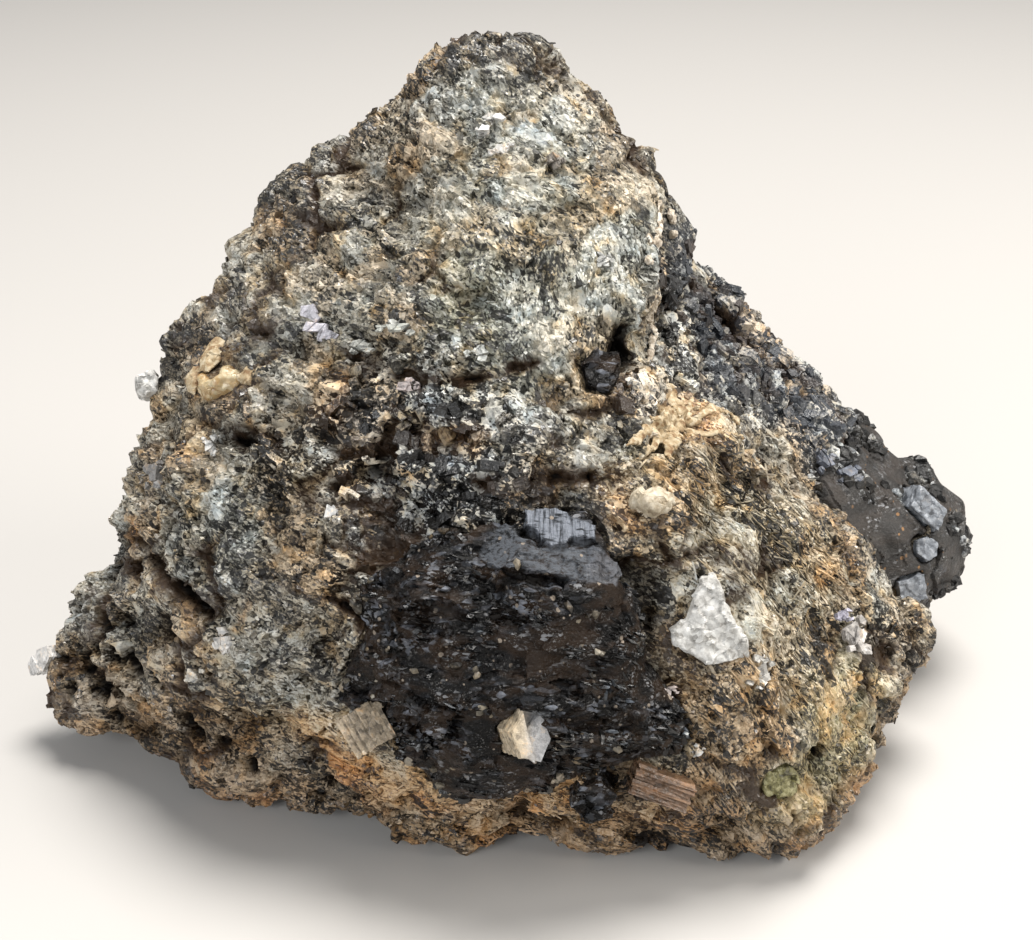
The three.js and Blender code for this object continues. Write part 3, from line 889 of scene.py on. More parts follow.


# A mineral's colour for a random pick, led by the zone that the surface lies in, with painted shade in
# creases and hollows and painted shade and floor bounce towards the base.
def makeMineralGroup():
    net, given, result, _ = newGroup(
        "mineralColour", "ShaderNodeTree",
        [("Pick", "Float", 0.5), ("Hue", "Float", 0.5), ("Cavity", "Float", 0.0),
         ("Where", "Vector", None)],
        [("Colour", "Color"), ("Shine", "Float")],
    )
    where, cavity = given["Where"], given["Cavity"]
    tone, hue, crease = net.axes(net.stored("lump", "Vector"))
    pick = net.swayed(given["Pick"], (net.noise(where, 0.17, 3.5, 0.7), 1.30), middle=0.515)
    pick = net.swayed(pick, (tone, 0.82))
    contrast = net.line(net.stored("gold"), 0.30, net.line(net.stored("dark"), 1.0, 1.0))
    pick = net.swayed(0.5, (pick, contrast))
    colour = net.ramp(pick, minerals["grey"])
    for name in ("pale", "gold", "dark", "olive", "rust"):
        colour = net.washed(colour, net.ramp(pick, minerals[name]), net.stored(name))
    seeping = net.line(crease, 0.20, net.noise(where, 0.30, 2.6, 0.62))
    for name, value in (("grain", given["Hue"]), ("lump", hue), ("seeping", seeping)):
        colour = net.washed(colour, net.ramp(value, hues[name]), 1.0, "MULTIPLY")
    for tint, share, how in (
        ((0.80, 0.57, 0.37), net.span(net.axes(where)[2], 20.0, 2.0, 0.0, 0.85), "MULTIPLY"),  # painted shade and warm floor bounce, darker and browner towards the base
        ((1.08, 0.87, 0.62), net.stored("orange"), "MULTIPLY"),
        ((0.064, 0.076, 0.096), net.times(net.stored("smoky"), 0.46), "MIX"),
        # Darker brown along creases, cracks and their margins: partly stain on the margins, partly painted
        # shade in the creases.
        ((0.034, 0.018, 0.0085), net.span(crease, 0.28, 0.76, 0.0, 0.95), "MIX"),
        # Painted shade in hollows, pits and cracks, nearly black in the deepest.
        ((0.014, 0.009, 0.006), net.span(cavity, 0.50, 0.98, 0.0, 0.88), "MIX"),
        ((0.0015, 0.0012, 0.001), net.span(cavity, 0.86, 1.0, 0.0, 0.9), "MIX"),
    ):
        colour = net.washed(colour, tint, share, how)
    net.feed(result, Colour=colour, Shine=net.span(cavity, 0.25, 0.80, 0.62, 0.06))
    return net.tree


mineralColour = makeMineralGroup()

schistFinish = {
    "crystal": (2.4, 1.5),  # size and flatness
    "plate": (0.85, 1.7),
    "fleck": (0.36, 1.6),
    "crystalRelief": 0.36,
    "plateRelief": 0.22,
    "fleckRelief": 0.12,
    "fibreRelief": 0.06,
    "fibreStretch": (0.5, 2.6, 1.6),
    "gloss": (0.26, 0.80),
    "ior": 1.58,
}


def makeSchistMaterial():
    finish = schistFinish
    material, net, surface = newMaterial("micaSchist")
    where, space = net.millimetres(), net.stored("grainSpace", "Vector")
    big, broad, fleck = (net.plates(space, *finish[name]) for name in ("crystal", "plate", "fleck"))
    fibres = net.noise(net.stretched(space, finish["fibreStretch"]), 1.5, 3.0, 0.6)
    sugar = net.noise(where, 4.6, 2.0, 0.65)
    dark = net.stored("dark")
    single = net.sums("GREATER_THAN", broad["Second"], net.line(dark, -0.40, 0.76))
    pick = net.mixed(single, fleck["Tone"], broad["Tone"])
    single = net.sums("GREATER_THAN", big["Second"], net.line(dark, -0.28, 0.92))
    pick = net.mixed(single, pick, big["Tone"])
    fibrous = net.line(net.stored("gold"), 0.8, 0.6)
    sugary = net.line(net.stored("pale"), -0.5, 1.5)
    pick = net.swayed(pick, (broad["Tone"], 0.20), (big["Tone"], 0.34), (fibres, fibrous), (sugar, sugary))
    gloss = net.span(net.mixed(0.5, fleck["Second"], broad["Second"]), 0.1, 0.9, *finish["gloss"])
    mineral = net.group(mineralColour, Pick=pick, Hue=fleck["Second"], Cavity=net.stored("cavity"),
                        Where=where)
    relief = net.piled(
        (big["Height"], finish["crystalRelief"]), (broad["Height"], finish["plateRelief"]),
        (fleck["Height"], finish["fleckRelief"]), (fibres, finish["fibreRelief"]),
    )
    shine = {"Specular_IOR_Level": mineral["Shine"], "IOR": finish["ior"]}
    net.finish(surface, mineral["Colour"], gloss, relief, **shine)
    return material


dress(schist, makeSchistMaterial(), "schist_matrix")
print("schist finished")


# The tourmalines

frontSchorlForm = {
    "voxel": 0.25,
    "smoothing": 5,
    "triangles": 96000,
    "stretch": (0.55, 1.0, 1.15),  # chips are wider than high
    "chips": (3.4, 1.15, 1.75),
    "splinters": (1.15, 0.40, 0.65),
    "rest": 6.5,  # the size of the smooth stretches between the chips
    # A place on each, the way it looks, its outline in its own plane, chips, lines, and the share of
    # painted silvery reflection and of painted sheen.
    "facets": [
        (
            (-0.9, -30.2, 41.2), (-0.48, -0.41, 0.78),
            [
                (-0.7, 3.0), (-1.3, 1.8), (-2.0, 0.6), (-2.2, -1.3), (-0.8, -2.0), (0.5, -2.3),
                (1.2, -1.9), (1.9, -1.5), (1.8, 0.0), (2.3, 0.9), (0.8, 1.8),
            ],
            0.35, 0.0, 0.0, 1.25,
        ),
        (
            (4.5, -31.9, 40.8), (0.18, -0.46, 0.87),
            [
                (-4.3, -0.1), (-3.4, -0.9), (-2.1, -1.1), (-0.8, -1.5), (0.3, -2.0), (1.6, -2.1),
                (2.7, -2.6), (3.7, -0.3), (3.6, 1.5), (2.2, 2.0), (1.1, 1.7), (-0.3, 1.1), (-1.5, 1.6),
                (-2.4, 2.4), (-3.0, 2.3), (-3.8, 1.4),
            ],
            1.3, 0.0, 0.0, 0.85,
        ),
        (
            (9.1, -31.7, 39.8), (0.57, -0.46, 0.68),
            [
                (-2.6, -1.4), (-0.8, -1.6), (1.1, -2.0), (2.4, -0.9), (2.7, 0.7), (1.1, 1.7), (0.3, 2.5),
                (-0.9, 2.3), (-1.1, 0.7),
            ],
            0.8, 0.22, 0.30, 0.3,
        ),
        (
            (4.6, -29.2, 43.1), (0.09, -0.48, 0.88),
            [
                (-3.2, 2.4), (-1.5, 2.5), (0.1, 2.3), (1.1, 1.8), (1.5, 0.9), (2.8, 0.7), (3.9, 0.2),
                (4.0, -1.5), (2.7, -1.6), (1.4, -1.3), (0.5, -1.9), (-0.7, -2.3), (-1.7, -1.7),
                (-2.7, -0.6), (-3.2, 0.2),
            ],
            0.12, 0.10, 1.0, 0.6,
        ),
    ],
    "facetChips": (1.1, 0.20, 0.34),
    "fray": 0.28,  # how far the edges of the facets wander
    "shade": (
        (2.2, -34.0, 39.8), (0.0, -0.89, 0.454),
        [
            (-3.4, 0.9), (-2.1, 1.3), (-0.9, 0.9), (0.7, 0.7), (2.2, 0.3), (3.6, -0.2), (2.6, -1.1),
            (0.7, -0.9), (-1.3, -0.5), (-2.8, 0.0),
        ],
    ),
    "shadeDepth": 1.3,
    "split": [
        (1.0, -28.6, 42.6), (2.0, -29.4, 42.1), (3.0, -30.4, 41.7), (4.1, -31.2, 41.4),
        (5.2, -30.8, 41.6), (6.1, -30.0, 42.0), (7.4, -29.9, 41.7), (8.7, -30.0, 41.5),
    ],
    "splitDepth": 0.55,
}
sideSchorlForm = {
    "voxel": 0.3,
    "smoothing": 10,
    "triangles": 50000,
    "stretch": (0.8, 1.0, 0.8),
    "chips": (3.6, 0.55, 0.8),
    "splinters": (1.3, 0.14, 0.2),
    "rest": 7.0,
}


def chipped(points, form, salt):
    stretched = warped(points, 5.0, 0.8, salt) * form["stretch"]
    broken = smoothStep(-0.35, 0.35, softNoise(points * form["stretch"], form["rest"], salt + 1))
    height = brokenHeight(stretched, *form["chips"], salt + 2) * (0.45 + 0.55 * broken)
    height += brokenHeight(stretched, *form["splinters"], salt + 3) * broken
    return height, broken


def makeFrontSchorl():
    form = frontSchorlForm
    piece = crystalSkin("front_schorl", form)
    mesh = piece.data
    points, normals = pointsOf(mesh), normalsOf(mesh)
    fray = [softNoise(points, 1.1, 501 + k) + 0.5 * softNoise(points, 0.45, 505 + k) for k in range(3)]
    frayed = points + form["fray"] * np.stack(fray, 1)
    front = normals @ shownFace > -0.2
    height, broken = chipped(points, form, 510)
    flecks = brokenHeight(points * (0.8, 1, 1), *form["facetChips"], 508)
    flecks += 0.12 * softNoise(points, 0.8, 509)
    lines = softNoise(points * (1, 0.05, 0.05), 0.5, 503)
    lines -= 1.0 * (softNoise(points * (0.3, 1, 0.5), 0.9, 504) > 0.45)

    # How far inside an outline each place lies, and the way the outline looks, at unit length.
    def seen(places, place, looks, outline):
        across, up, looks = faceBasis(looks)
        flat = np.stack([(places - place) @ across, (places - place) @ up], 1)
        return insideOutline(flat, outline), looks

    total, ledge, silverGlare = np.zeros((3, len(points)))
    shift = np.zeros((len(points), 3))
    for place, looks, outline, chips, lined, shine, paintedSheen in form["facets"]:
        inside, looks = seen(frayed, place, looks, outline)
        off = (points - place) @ looks
        mask = smoothStep(-0.15, 0.15, inside) * smoothStep(2.4, 1.6, abs(off)) * front
        shift += ((chips * flecks + lined * lines - off) * mask)[:, None] * looks
        total += mask
        ledge = np.maximum(ledge, mask * paintedSheen)
        silverGlare = np.maximum(silverGlare, mask * shine)
    free = 1 - np.minimum(total, 1)
    inside, looks = seen(frayed, *form["shade"])
    away = abs((frayed - form["shade"][0]) @ looks)
    under = smoothStep(-0.3, 0.5, inside) * front
    under *= smoothStep(3.2, 2.2, away) * free
    split = np.clip(1.3 - fromLine(frayed, form["split"]) / 0.3, 0, 1)
    moved = points + normals * (height * free * (1 - 0.5 * under))[:, None]
    moved += shift / np.maximum(total, 1)[:, None]
    moved -= shownFace * (form["shadeDepth"] * under + form["splitDepth"] * split)[:, None]
    setPoints(mesh, moved)
    low = smoothStep(27.0, 15.0, points[:, 2] + 0.5 * (points[:, 0] + 6))
    # How hollow each place is, the recess under the lip and the split included; the colour paints shade
    # there.
    cavity = 0.5 - 0.5 * height * free + 0.5 * under + 0.45 * split - 0.5 * total * flecks
    # The striated facet, whose colour is a painted silvery reflection, and the ledge, which carries painted
    # sheen.
    store(mesh, "silverGlare", silverGlare)
    store(mesh, "ledge", ledge)
    store(mesh, "soil", low * smoothStep(-0.1, 0.5, softNoise(points, 2.4, 512)))
    store(mesh, "broken", broken * free)
    store(mesh, "cavity", np.clip(cavity, 0, 1))
    return lighter(piece, form["triangles"])


def makeSideSchorl():
    form = sideSchorlForm
    piece = crystalSkin("side_schorl", form)
    height, broken = chipped(pointsOf(piece.data), form, 530)
    swell(piece.data, height)
    for name in ("silverGlare", "ledge", "soil"):
        store(piece.data, name, np.zeros(len(height)))
    store(piece.data, "broken", broken * 0.5)
    # How hollow each place is, which the colour paints as shade.
    store(piece.data, "cavity", np.clip(0.5 - 0.5 * height, 0, 1))
    return lighter(piece, form["triangles"])


schorlFinish = {
    "body": (0.0035, 0.0032, 0.0032),
    "brown": (0.022, 0.0138, 0.0088),
    # Painted sheen: the sky's reflection on the upward ledge facets, mottled.
    "paintedSheen": (0.098, 0.106, 0.119),
    "dust": (0.30, 0.25, 0.20),
    "specks": 0.85,
    "roughness": 0.24,
    "gloss": 0.09,
    "ior": 1.63,
    # Painted glint on the thin slits.
    "paintedGlint": (0.23, 0.232, 0.24),
    # Painted bluish glint on some chips, where the crystal is broken.
    "paintedChipGlint": (0.21, 0.225, 0.26),
    # Painted fine sparkle.
    "paintedSparkle": (0.165, 0.16, 0.155),
    "soil": (0.095, 0.074, 0.062),
    # Painted reflection on the striated facet, from its dark striae to its bright face.
    "lined": ((0.030, 0.033, 0.038), (0.205, 0.222, 0.255)),
    # Painted shade in the deepest hollows.
    "paintedHollowShade": (0.004, 0.0035, 0.003),
    "grit": 0.91,  # grit: the share of places without a speck
}
sideFinish = dict(
    schorlFinish, body=(0.022, 0.020, 0.018), brown=(0.036, 0.029, 0.024), dust=(0.30, 0.17, 0.08),
    roughness=0.42, specks=0.9, gloss=0.34,
)


def makeSchorlMaterial(name, finish):
    material, net, surface = newMaterial(name)
    where = net.millimetres()
    wide = net.stretched(where, (0.52, 0.85, 1.15))
    clouds, fine = net.noise(wide, 0.35, 4.0, 0.6), net.noise(wide, 2.6, 5.0, 0.65)
    splinters, slits = net.plates(wide, 0.55, 1.6), net.plates(wide, 0.29, 1.3)
    broken, ledge, silverGlare = (net.stored(mask) for mask in ("broken", "ledge", "silverGlare"))
    # Patches where the painted glints and sparkle gather; they also set how strongly the slits are bumped.
    glinting = net.span(net.noise(where, 0.45), 0.48, 0.62)
    paintedGlint = net.times(net.span(slits["Tone"], 0.86, 0.96, 0.0, 0.9), glinting)
    paintedChipGlint = net.times(net.span(splinters["Tone"], 0.68, 0.96, 0.0, 0.9), broken)
    paintedChipGlint = net.times(paintedChipGlint, net.line(glinting, 0.85, 0.15))
    paintedSparkle = net.times(net.span(net.noise(where, 4.4, 2.0, 0.7), 0.58, 0.66),
                        net.line(glinting, 0.75, 0.20))
    soil = net.times(net.times(net.span(fine, 0.42, 0.62), net.stored("soil")), 0.8)
    mottled = net.span(net.line(clouds, 0.4, net.times(fine, 0.9)), 0.54, 0.78, 0.10, 1.5)
    lines = net.noise(net.stretched(where, (3.2, 0.35, 0.35)), 1.0, 3.0, 0.7)
    cracks = net.noise(net.stretched(where, (0.5, 2.0, 1.0)), 1.1)
    lined = net.times(net.span(lines, 0.32, 0.54), net.span(cracks, 0.36, 0.46))
    specks = net.voronoi(where, 1.7)
    speck = net.put("ShaderNodeSeparateColor", None, Color=specks["Color"])[0]
    isGrit = net.sums("LESS_THAN", specks["Distance"], net.span(speck, finish["grit"], 1.0, 0.10, 0.50))
    isGrit = net.times(isGrit, net.sums("GREATER_THAN", speck, finish["grit"]))
    isGrit = net.times(isGrit, net.span(net.noise(where, 0.32), 0.44, 0.56))
    colour = net.washed(finish["body"], finish["brown"], net.span(clouds, 0.44, 0.57))
    for tint, share in (
        (finish["paintedGlint"], paintedGlint),
        (finish["paintedChipGlint"], paintedChipGlint),
        (finish["paintedSparkle"], paintedSparkle),
        (finish["soil"], soil),
        # painted sheen on the ledge facets
        (finish["paintedSheen"], net.times(ledge, mottled)),
        # painted silvery reflection on the striated facet
        (net.washed(*finish["lined"], lined), silverGlare),
        (finish["dust"], net.times(isGrit, finish["specks"])),
        (finish["paintedHollowShade"], net.span(net.stored("cavity"), 0.60, 1.0, 0.0, 0.8)),
    ):
        colour = net.washed(colour, tint, share)
    rough = net.span(fine, 0.30, 0.72, finish["roughness"] - 0.06, finish["roughness"] + 0.22)
    rough = net.line(net.sums("SUBTRACT", ledge, silverGlare), 0.40, net.line(isGrit, 0.4, rough))
    relief = net.piled(
        (splinters["Height"], net.line(broken, 0.34, 0.04)),
        (slits["Height"], net.line(glinting, 0.11, 0.03)),
        (fine, net.line(ledge, 0.22, 0.20)), (net.times(lines, silverGlare), 0.30),
    )
    net.finish(surface, colour, rough, relief, Specular_IOR_Level=finish["gloss"], IOR=finish["ior"])
    return material


blackTourmaline = makeSchorlMaterial("blackTourmaline", schorlFinish)
dullTourmaline = makeSchorlMaterial("dullTourmaline", sideFinish)
frontTourmaline, sideTourmaline = makeFrontSchorl(), makeSideSchorl()
dress(frontTourmaline, blackTourmaline, "front_schorl")
dress(sideTourmaline, dullTourmaline, "side_schorl")
print("tourmalines finished")

# The small crystals: cleaved blocks, glassy grains and books of mica

grainForms = {  # voxel, smoothing, and the size, step and tilt of what is broken off
    "pocket_schorl": {
        "voxel": 0.16, "smoothing": 2, "broken": (1.5, 0.34, 0.5), "slot": "schorl", "material": "schorl",
    },
    "low_schorl": {
        "voxel": 0.18, "smoothing": 2, "broken": (1.7, 0.45, 0.7), "slot": "schorl", "material": "schorl",
    },
    "feldspar_block_upper": {
        "voxel": 0.16, "smoothing": 3, "broken": (1.6, 0.14, 0.2), "slot": "feldspar",
        "material": "feldspar",
    },
    "feldspar_block_middle": {
        "voxel": 0.16, "smoothing": 4, "broken": (1.6, 0.14, 0.2), "slot": "feldspar",
        "material": "feldspar",
    },
    "feldspar_block_lower": {
        "voxel": 0.16, "smoothing": 3, "broken": (1.6, 0.14, 0.2), "slot": "feldspar",
        "material": "feldspar",
    },
    "cream_quartz": {
        "voxel": 0.18, "smoothing": 2, "broken": (2.4, 0.5, 0.9), "slot": "feldspar", "material": "cream",
    },
    "edge_quartz": {
        "voxel": 0.18, "smoothing": 3, "broken": (1.5, 0.35, 0.5), "slot": "quartz", "material": "quartz",
    },
    "yellow_quartz": {
        "voxel": 0.16, "smoothing": 8, "broken": (2.6, 0.2, 0.35), "slot": "stained_quartz",
        "material": "honey",
        "pushed": [
            ((-33.8, -5.4, 50.2), 1.3, -1.1), ((-34.0, -3.8, 50.3), 1.6, -1.2),
            ((-34.2, -2.2, 50.0), 1.6, -1.2), ((-29.9, -5.8, 48.6), 2.2, 0.9),
        ],
    },
    "olive_grain": {
        "voxel": 0.16, "smoothing": 1, "broken": (1.1, 0.5, 0.8), "slot": "olive", "material": "olive",
    },
}
# The darkest, middle and brightest colour, roughness, clouding per millimetre and how clear it is.
stoneFinish = {
    "feldspar": [(0.065, 0.070, 0.080), (0.160, 0.175, 0.197), (0.33, 0.35, 0.38), 0.36, 0.7, 0.0],
    "quartz": [(0.22, 0.21, 0.19), (0.49, 0.48, 0.455), (0.76, 0.75, 0.715), 0.46, 0.75, 0.10],
    "cream": [(0.20, 0.155, 0.10), (0.42, 0.355, 0.255), (0.60, 0.54, 0.43), 0.50, 0.7, 0.0],
    "honey": [(0.27, 0.13, 0.045), (0.50, 0.345, 0.165), (0.66, 0.56, 0.36), 0.26, 0.42, 0.2],
    "olive": [(0.035, 0.030, 0.012), (0.17, 0.155, 0.060), (0.42, 0.39, 0.22), 0.42, 1.3, 0.0],
    "vein": [(0.15, 0.11, 0.07), (0.46, 0.39, 0.30), (0.76, 0.71, 0.63), 0.55, 0.9, 0.0],
    "rust": [(0.19, 0.105, 0.045), (0.375, 0.28, 0.16), (0.56, 0.48, 0.34), 0.80, 0.8, 0.0],
}
stoneIor = 1.54


def makeStoneMaterial(name):
    darkest, middle, brightest, roughness, clouding, clear = stoneFinish[name]
    material, net, surface = newMaterial(name + "Stone")
    where = net.millimetres()
    clouds = net.noise(where, clouding, 5.0, 0.68)
    sugar = net.plates(where, 0.5, 1.2)
    pick = net.swayed(clouds, (sugar["Tone"], 0.22))
    colour = net.ramp(pick, [(0.30, darkest), (0.47, middle), (0.68, brightest)])
    gloss = net.span(sugar["Second"], 0.0, 1.0, roughness - 0.12, roughness + 0.14)
    relief = net.piled((clouds, 0.16), (sugar["Height"], 0.10))
    net.finish(surface, colour, gloss, relief, IOR=stoneIor, Transmission_Weight=clear)
    return material


stones = {name: makeStoneMaterial(name) for name in stoneFinish}
stones["schorl"] = blackTourmaline


def makeGrains():
    for index, (node, form) in enumerate(grainForms.items()):
        piece = crystalSkin(node, form)
        points = pointsOf(piece.data)
        height = brokenHeight(points, *form["broken"], 600 + 9 * index) - 0.1
        height += 0.12 * softNoise(points, 0.7, 601 + 9 * index) + pushed(points, form.get("pushed", []))
        swell(piece.data, height)
        if form["material"] == "schorl":
            store(piece.data, "broken", np.ones(len(points)))
            # How hollow each place is, which the colour paints as shade.
            store(piece.data, "cavity", np.clip(0.5 - height, 0, 1))
        dress(piece, stones[form["material"]], node)


makeGrains()
print("grains finished")

# Books of mica: stacks of thin leaves, the outer ones broken back in steps

bookForms = {
    "mica_book_front": {
        "leaves": 15, "seed": 3, "tint": (0.29, 0.29, 0.295), "edge": (0.52, 0.41, 0.26),
        "stack": (0.36, -0.83, 0.42), "slot": "mica",
    },
    "mica_book_left": {
        "leaves": 13, "seed": 5, "tint": (0.43, 0.35, 0.25), "edge": (0.12, 0.08, 0.045),
        "stack": (0.85, 0.19, 0.50), "slot": "mica",
    },
    "brown_mica_book": {
        "leaves": 12, "seed": 7, "tint": (0.19, 0.115, 0.070), "edge": (0.30, 0.175, 0.095),
        "stack": (0.38, 0.25, 0.89), "slot": "brown_mica",
    },
    "tip_mica": {
        "leaves": 12, "seed": 9, "tint": (0.66, 0.65, 0.64), "edge": (0.40, 0.36, 0.30),
        "stack": (-0.72, -0.62, 0.31), "slot": "mica",
    },
}
# Loose books on the rock: place, size, the way the leaves look, leaves, tint
looseBooks = [
    ((-21.3, -8.6, 56.6), (4.2, 3.8, 1.2), (-0.35, -0.8, 0.5), 6, (0.66, 0.64, 0.70)),
    ((-11.2, -17.9, 53.6), (3.2, 2.2, 1.6), (-0.2, -0.75, 0.62), 8, (0.58, 0.50, 0.48)),
    ((-18.9, -23.2, 41.7), (2.9, 2.5, 1.4), (0.0, -0.80, 0.60), 7, (0.86, 0.84, 0.80)),
    ((19.6, -33.8, 18.6), (1.9, 1.5, 1.4), (0.0, -0.90, 0.40), 6, (0.84, 0.83, 0.80)),
    ((4.8, 1.7, 72.3), (2.4, 2.1, 2.2), (0.65, -0.45, 0.6), 9, (0.40, 0.36, 0.32)),
    ((-2.7, 2.9, 75.6), (3.4, 3.2, 1.2), (-0.1, -0.70, 0.70), 6, (0.80, 0.78, 0.73)),
    ((-1.0, 0.8, 73.6), (2.6, 1.8, 1.0), (0.1, -0.75, 0.62), 5, (0.72, 0.70, 0.66)),
    ((26.2, -31.0, 26.6), (3.8, 3.8, 1.3), (0.35, -0.75, 0.55), 7, (0.76, 0.73, 0.67)),
    ((38.1, -20.0, 24.1), (3.7, 4.2, 1.3), (0.45, -0.70, 0.55), 7, (0.66, 0.62, 0.58)),
    ((36.7, -19.2, 26.4), (2.8, 1.5, 1.0), (0.40, -0.65, 0.60), 5, (0.50, 0.48, 0.58)),
    ((16.3, -32.6, 25.3), (2.3, 1.3, 1.2), (0.20, -0.85, 0.50), 6, (0.74, 0.64, 0.60)),
    ((-33.6, -11.0, 43.4), (2.4, 2.2, 1.1), (-0.3, -0.70, 0.60), 6, (0.74, 0.73, 0.70)),
    ((-3.4, -17.4, 57.3), (3.0, 1.6, 1.0), (0.0, -0.78, 0.62), 5, (0.66, 0.67, 0.62)),
    ((-12.0, -13.4, 58.4), (4.2, 1.7, 1.0), (-0.1, -0.62, 0.78), 5, (0.62, 0.63, 0.57)),
    ((-16.0, -12.6, 56.0), (3.4, 1.5, 1.0), (-0.3, -0.62, 0.72), 5, (0.55, 0.55, 0.50)),
    ((6.2, -16.6, 57.6), (2.0, 1.8, 1.0), (0.2, -0.78, 0.58), 5, (0.60, 0.58, 0.53)),
    ((9.8, -8.6, 64.0), (2.6, 2.4, 1.0), (0.3, -0.70, 0.64), 5, (0.56, 0.56, 0.53)),
    ((38.4, 3.6, 34.0), (3.4, 2.6, 1.4), (0.5, -0.55, 0.65), 7, (0.20, 0.22, 0.27)),
    ((41.6, 4.8, 32.0), (3.6, 2.4, 1.4), (0.4, -0.62, 0.65), 7, (0.17, 0.19, 0.24)),
    ((-40.6, -8.8, 38.8), (3.4, 3.2, 1.4), (-0.6, -0.6, 0.5), 7, (0.33, 0.32, 0.31)),
    ((-34.6, -26.0, 22.6), (2.4, 2.0, 1.0), (-0.4, -0.75, 0.45), 6, (0.62, 0.58, 0.50)),
    ((-30.8, -26.9, 27.8), (3.0, 2.6, 1.0), (-0.35, -0.8, 0.45), 6, (0.58, 0.56, 0.53)),
    ((2.0, 38.0, 34.0), (4.0, 3.2, 1.4), (0.1, 0.85, 0.45), 7, (0.60, 0.58, 0.54)),
    ((-28.0, 30.0, 26.0), (3.4, 3.0, 1.3), (-0.4, 0.80, 0.4), 7, (0.50, 0.47, 0.42)),
]
looseForm = {"stacks": 7, "main": 0.62, "smaller": (0.20, 0.42), "lean": 0.16}
leafForm = {
    "corners": 12,
    "ragged": 0.045,
    "overlap": 1.12,
    "cutBack": (0.88, 0.66, 0.42),  # what is left of the three outermost leaves
}


def leafRing(outline, rng):
    count, ragged = leafForm["corners"], leafForm["ragged"]
    closed = np.vstack([outline, outline[:1]])
    reach = np.concatenate([[0], np.cumsum(np.linalg.norm(np.diff(closed, axis=0), axis=1))])
    steps = (np.arange(count) + rng.uniform(-0.3, 0.3, count)) / count % 1 * reach[-1]
    steps = np.sort(np.concatenate([steps, reach[:-1]]))
    ring = np.stack([np.interp(steps, reach, closed[:, k]) for k in (0, 1)], 1)
    middle = outline.mean(0)
    return middle + (ring - middle) * (1 + rng.uniform(-ragged, ragged, (len(ring), 1)))


def cutBack(ring, rng, share):  # a leaf broken off along a line, so that only a share of it is left
    angle = rng.uniform(0, turn)
    along = np.array([math.cos(angle), math.sin(angle)])
    over = np.maximum(ring @ along - np.quantile(ring @ along, share), 0)
    return ring - over[:, None] * along


def wall(upper, lower, k, n):  # two triangles from one ring down to the next
    return [(upper + k, lower + k, lower + n), (upper + k, lower + n, upper + n)]


def stackOfLeaves(outline, low, high, leaves, rng):
    parts, tones = [], []
    step = (high - low) / leaves
    for level in range(leaves):
        ring = leafRing(outline, rng)
        ring = ring.mean(0) + (ring - ring.mean(0)) * (1 + rng.uniform(-0.05, 0.03))
        top = level - leaves + 3
        if top >= 0:
            ring = cutBack(ring, rng, leafForm["cutBack"][top])
        count, middle = len(ring), ring.mean(0)
        bottom, upper = low + level * step, low + (level + leafForm["overlap"]) * step
        lift = (ring - middle) @ rng.uniform(-0.05, 0.05, 2) * 0.6
        rings = [np.column_stack([ring * 0.995, upper + lift]), np.column_stack([ring, bottom + lift])]
        faces = []
        for k in range(count):
            n = (k + 1) % count
            faces += [(k, n, 2 * count), (count + n, count + k, 2 * count + 1), *wall(0, count, k, n)]
        parts.append((np.concatenate([*rings, [[*middle, upper], [*middle, bottom]]]), faces))
        tones.append(np.full(2 * count + 2, rng.uniform(0, 1)))
    return *joined(parts), np.concatenate(tones)


def outlineHull(flat):
    order = flat[np.lexsort((flat[:, 1], flat[:, 0]))]

    def chain(rows):
        kept = []
        for row in rows:
            while len(kept) > 1 and np.cross(kept[-1] - kept[-2], row - kept[-2]) <= 0:
                kept.pop()
            kept.append(row)
        return kept[:-1]

    return np.array(chain(order) + chain(order[::-1]))


micaFinish = {"ior": 1.59, "coat": 0.25, "coatRoughness": 0.12, "stain": (1.15, 0.82, 0.48),
              "gloss": (0.14, 0.46)}


def makeMicaMaterial():
    finish = micaFinish
    material, net, surface = newMaterial("micaLeaves")
    where = net.millimetres()
    clouds = net.noise(where, 0.75, 5.0, 0.7)
    flecks = net.plates(where, 0.55, 1.3)
    shade = net.swayed(0.86, (clouds, 2.1), (net.stored("leaf"), 0.45), (flecks["Tone"], 0.55))
    shade = net.sums("MINIMUM", net.sums("MAXIMUM", shade, 0.12), 1.45)
    stain = net.span(clouds, 0.56, 0.68, 0.0, 0.65)
    colour = net.washed(net.scaled(net.stored("tint", "Color"), shade), finish["stain"], stain, "MULTIPLY")
    gloss = net.span(flecks["Second"], 0.0, 1.0, *finish["gloss"])
    relief = net.piled((clouds, 0.30), (flecks["Height"], 0.06))
    coat = {"Coat_Weight": finish["coat"], "Coat_Roughness": finish["coatRoughness"]}
    net.finish(surface, colour, gloss, relief, IOR=finish["ior"], **coat)
    return material


micaLeaves = makeMicaMaterial()


def leafMesh(name, points, faces, tones, tints):
    mesh = meshFrom(name, points, faces)
    store(mesh, "tint", tints)
    store(mesh, "leaf", tones)
    return asObject(name, mesh)


def makeBooks():
    for node, form in bookForms.items():
        basis = np.stack(faceBasis(form["stack"]))
        flat = mergedCopy(node)[0] @ basis.T
        rng = np.random.default_rng(form["seed"])
        low, high = flat[:, 2].min(), flat[:, 2].max()
        points, faces, tones = stackOfLeaves(outlineHull(flat[:, :2]), low, high, form["leaves"], rng)
        reach = (points[:, 0] - points[:, 0].min()) / np.ptp(points[:, 0])
        edge = smoothStep(0.62, 0.15, reach) * 0.8 if node == "mica_book_front" else 0.3 * tones
        tints = np.array(form["tint"]) * (1 - edge[:, None]) + np.array(form["edge"]) * edge[:, None]
        leaves = leafMesh(node + "_leaves", points @ basis, faces, tones, tints)
        dress(leaves, micaLeaves, node)


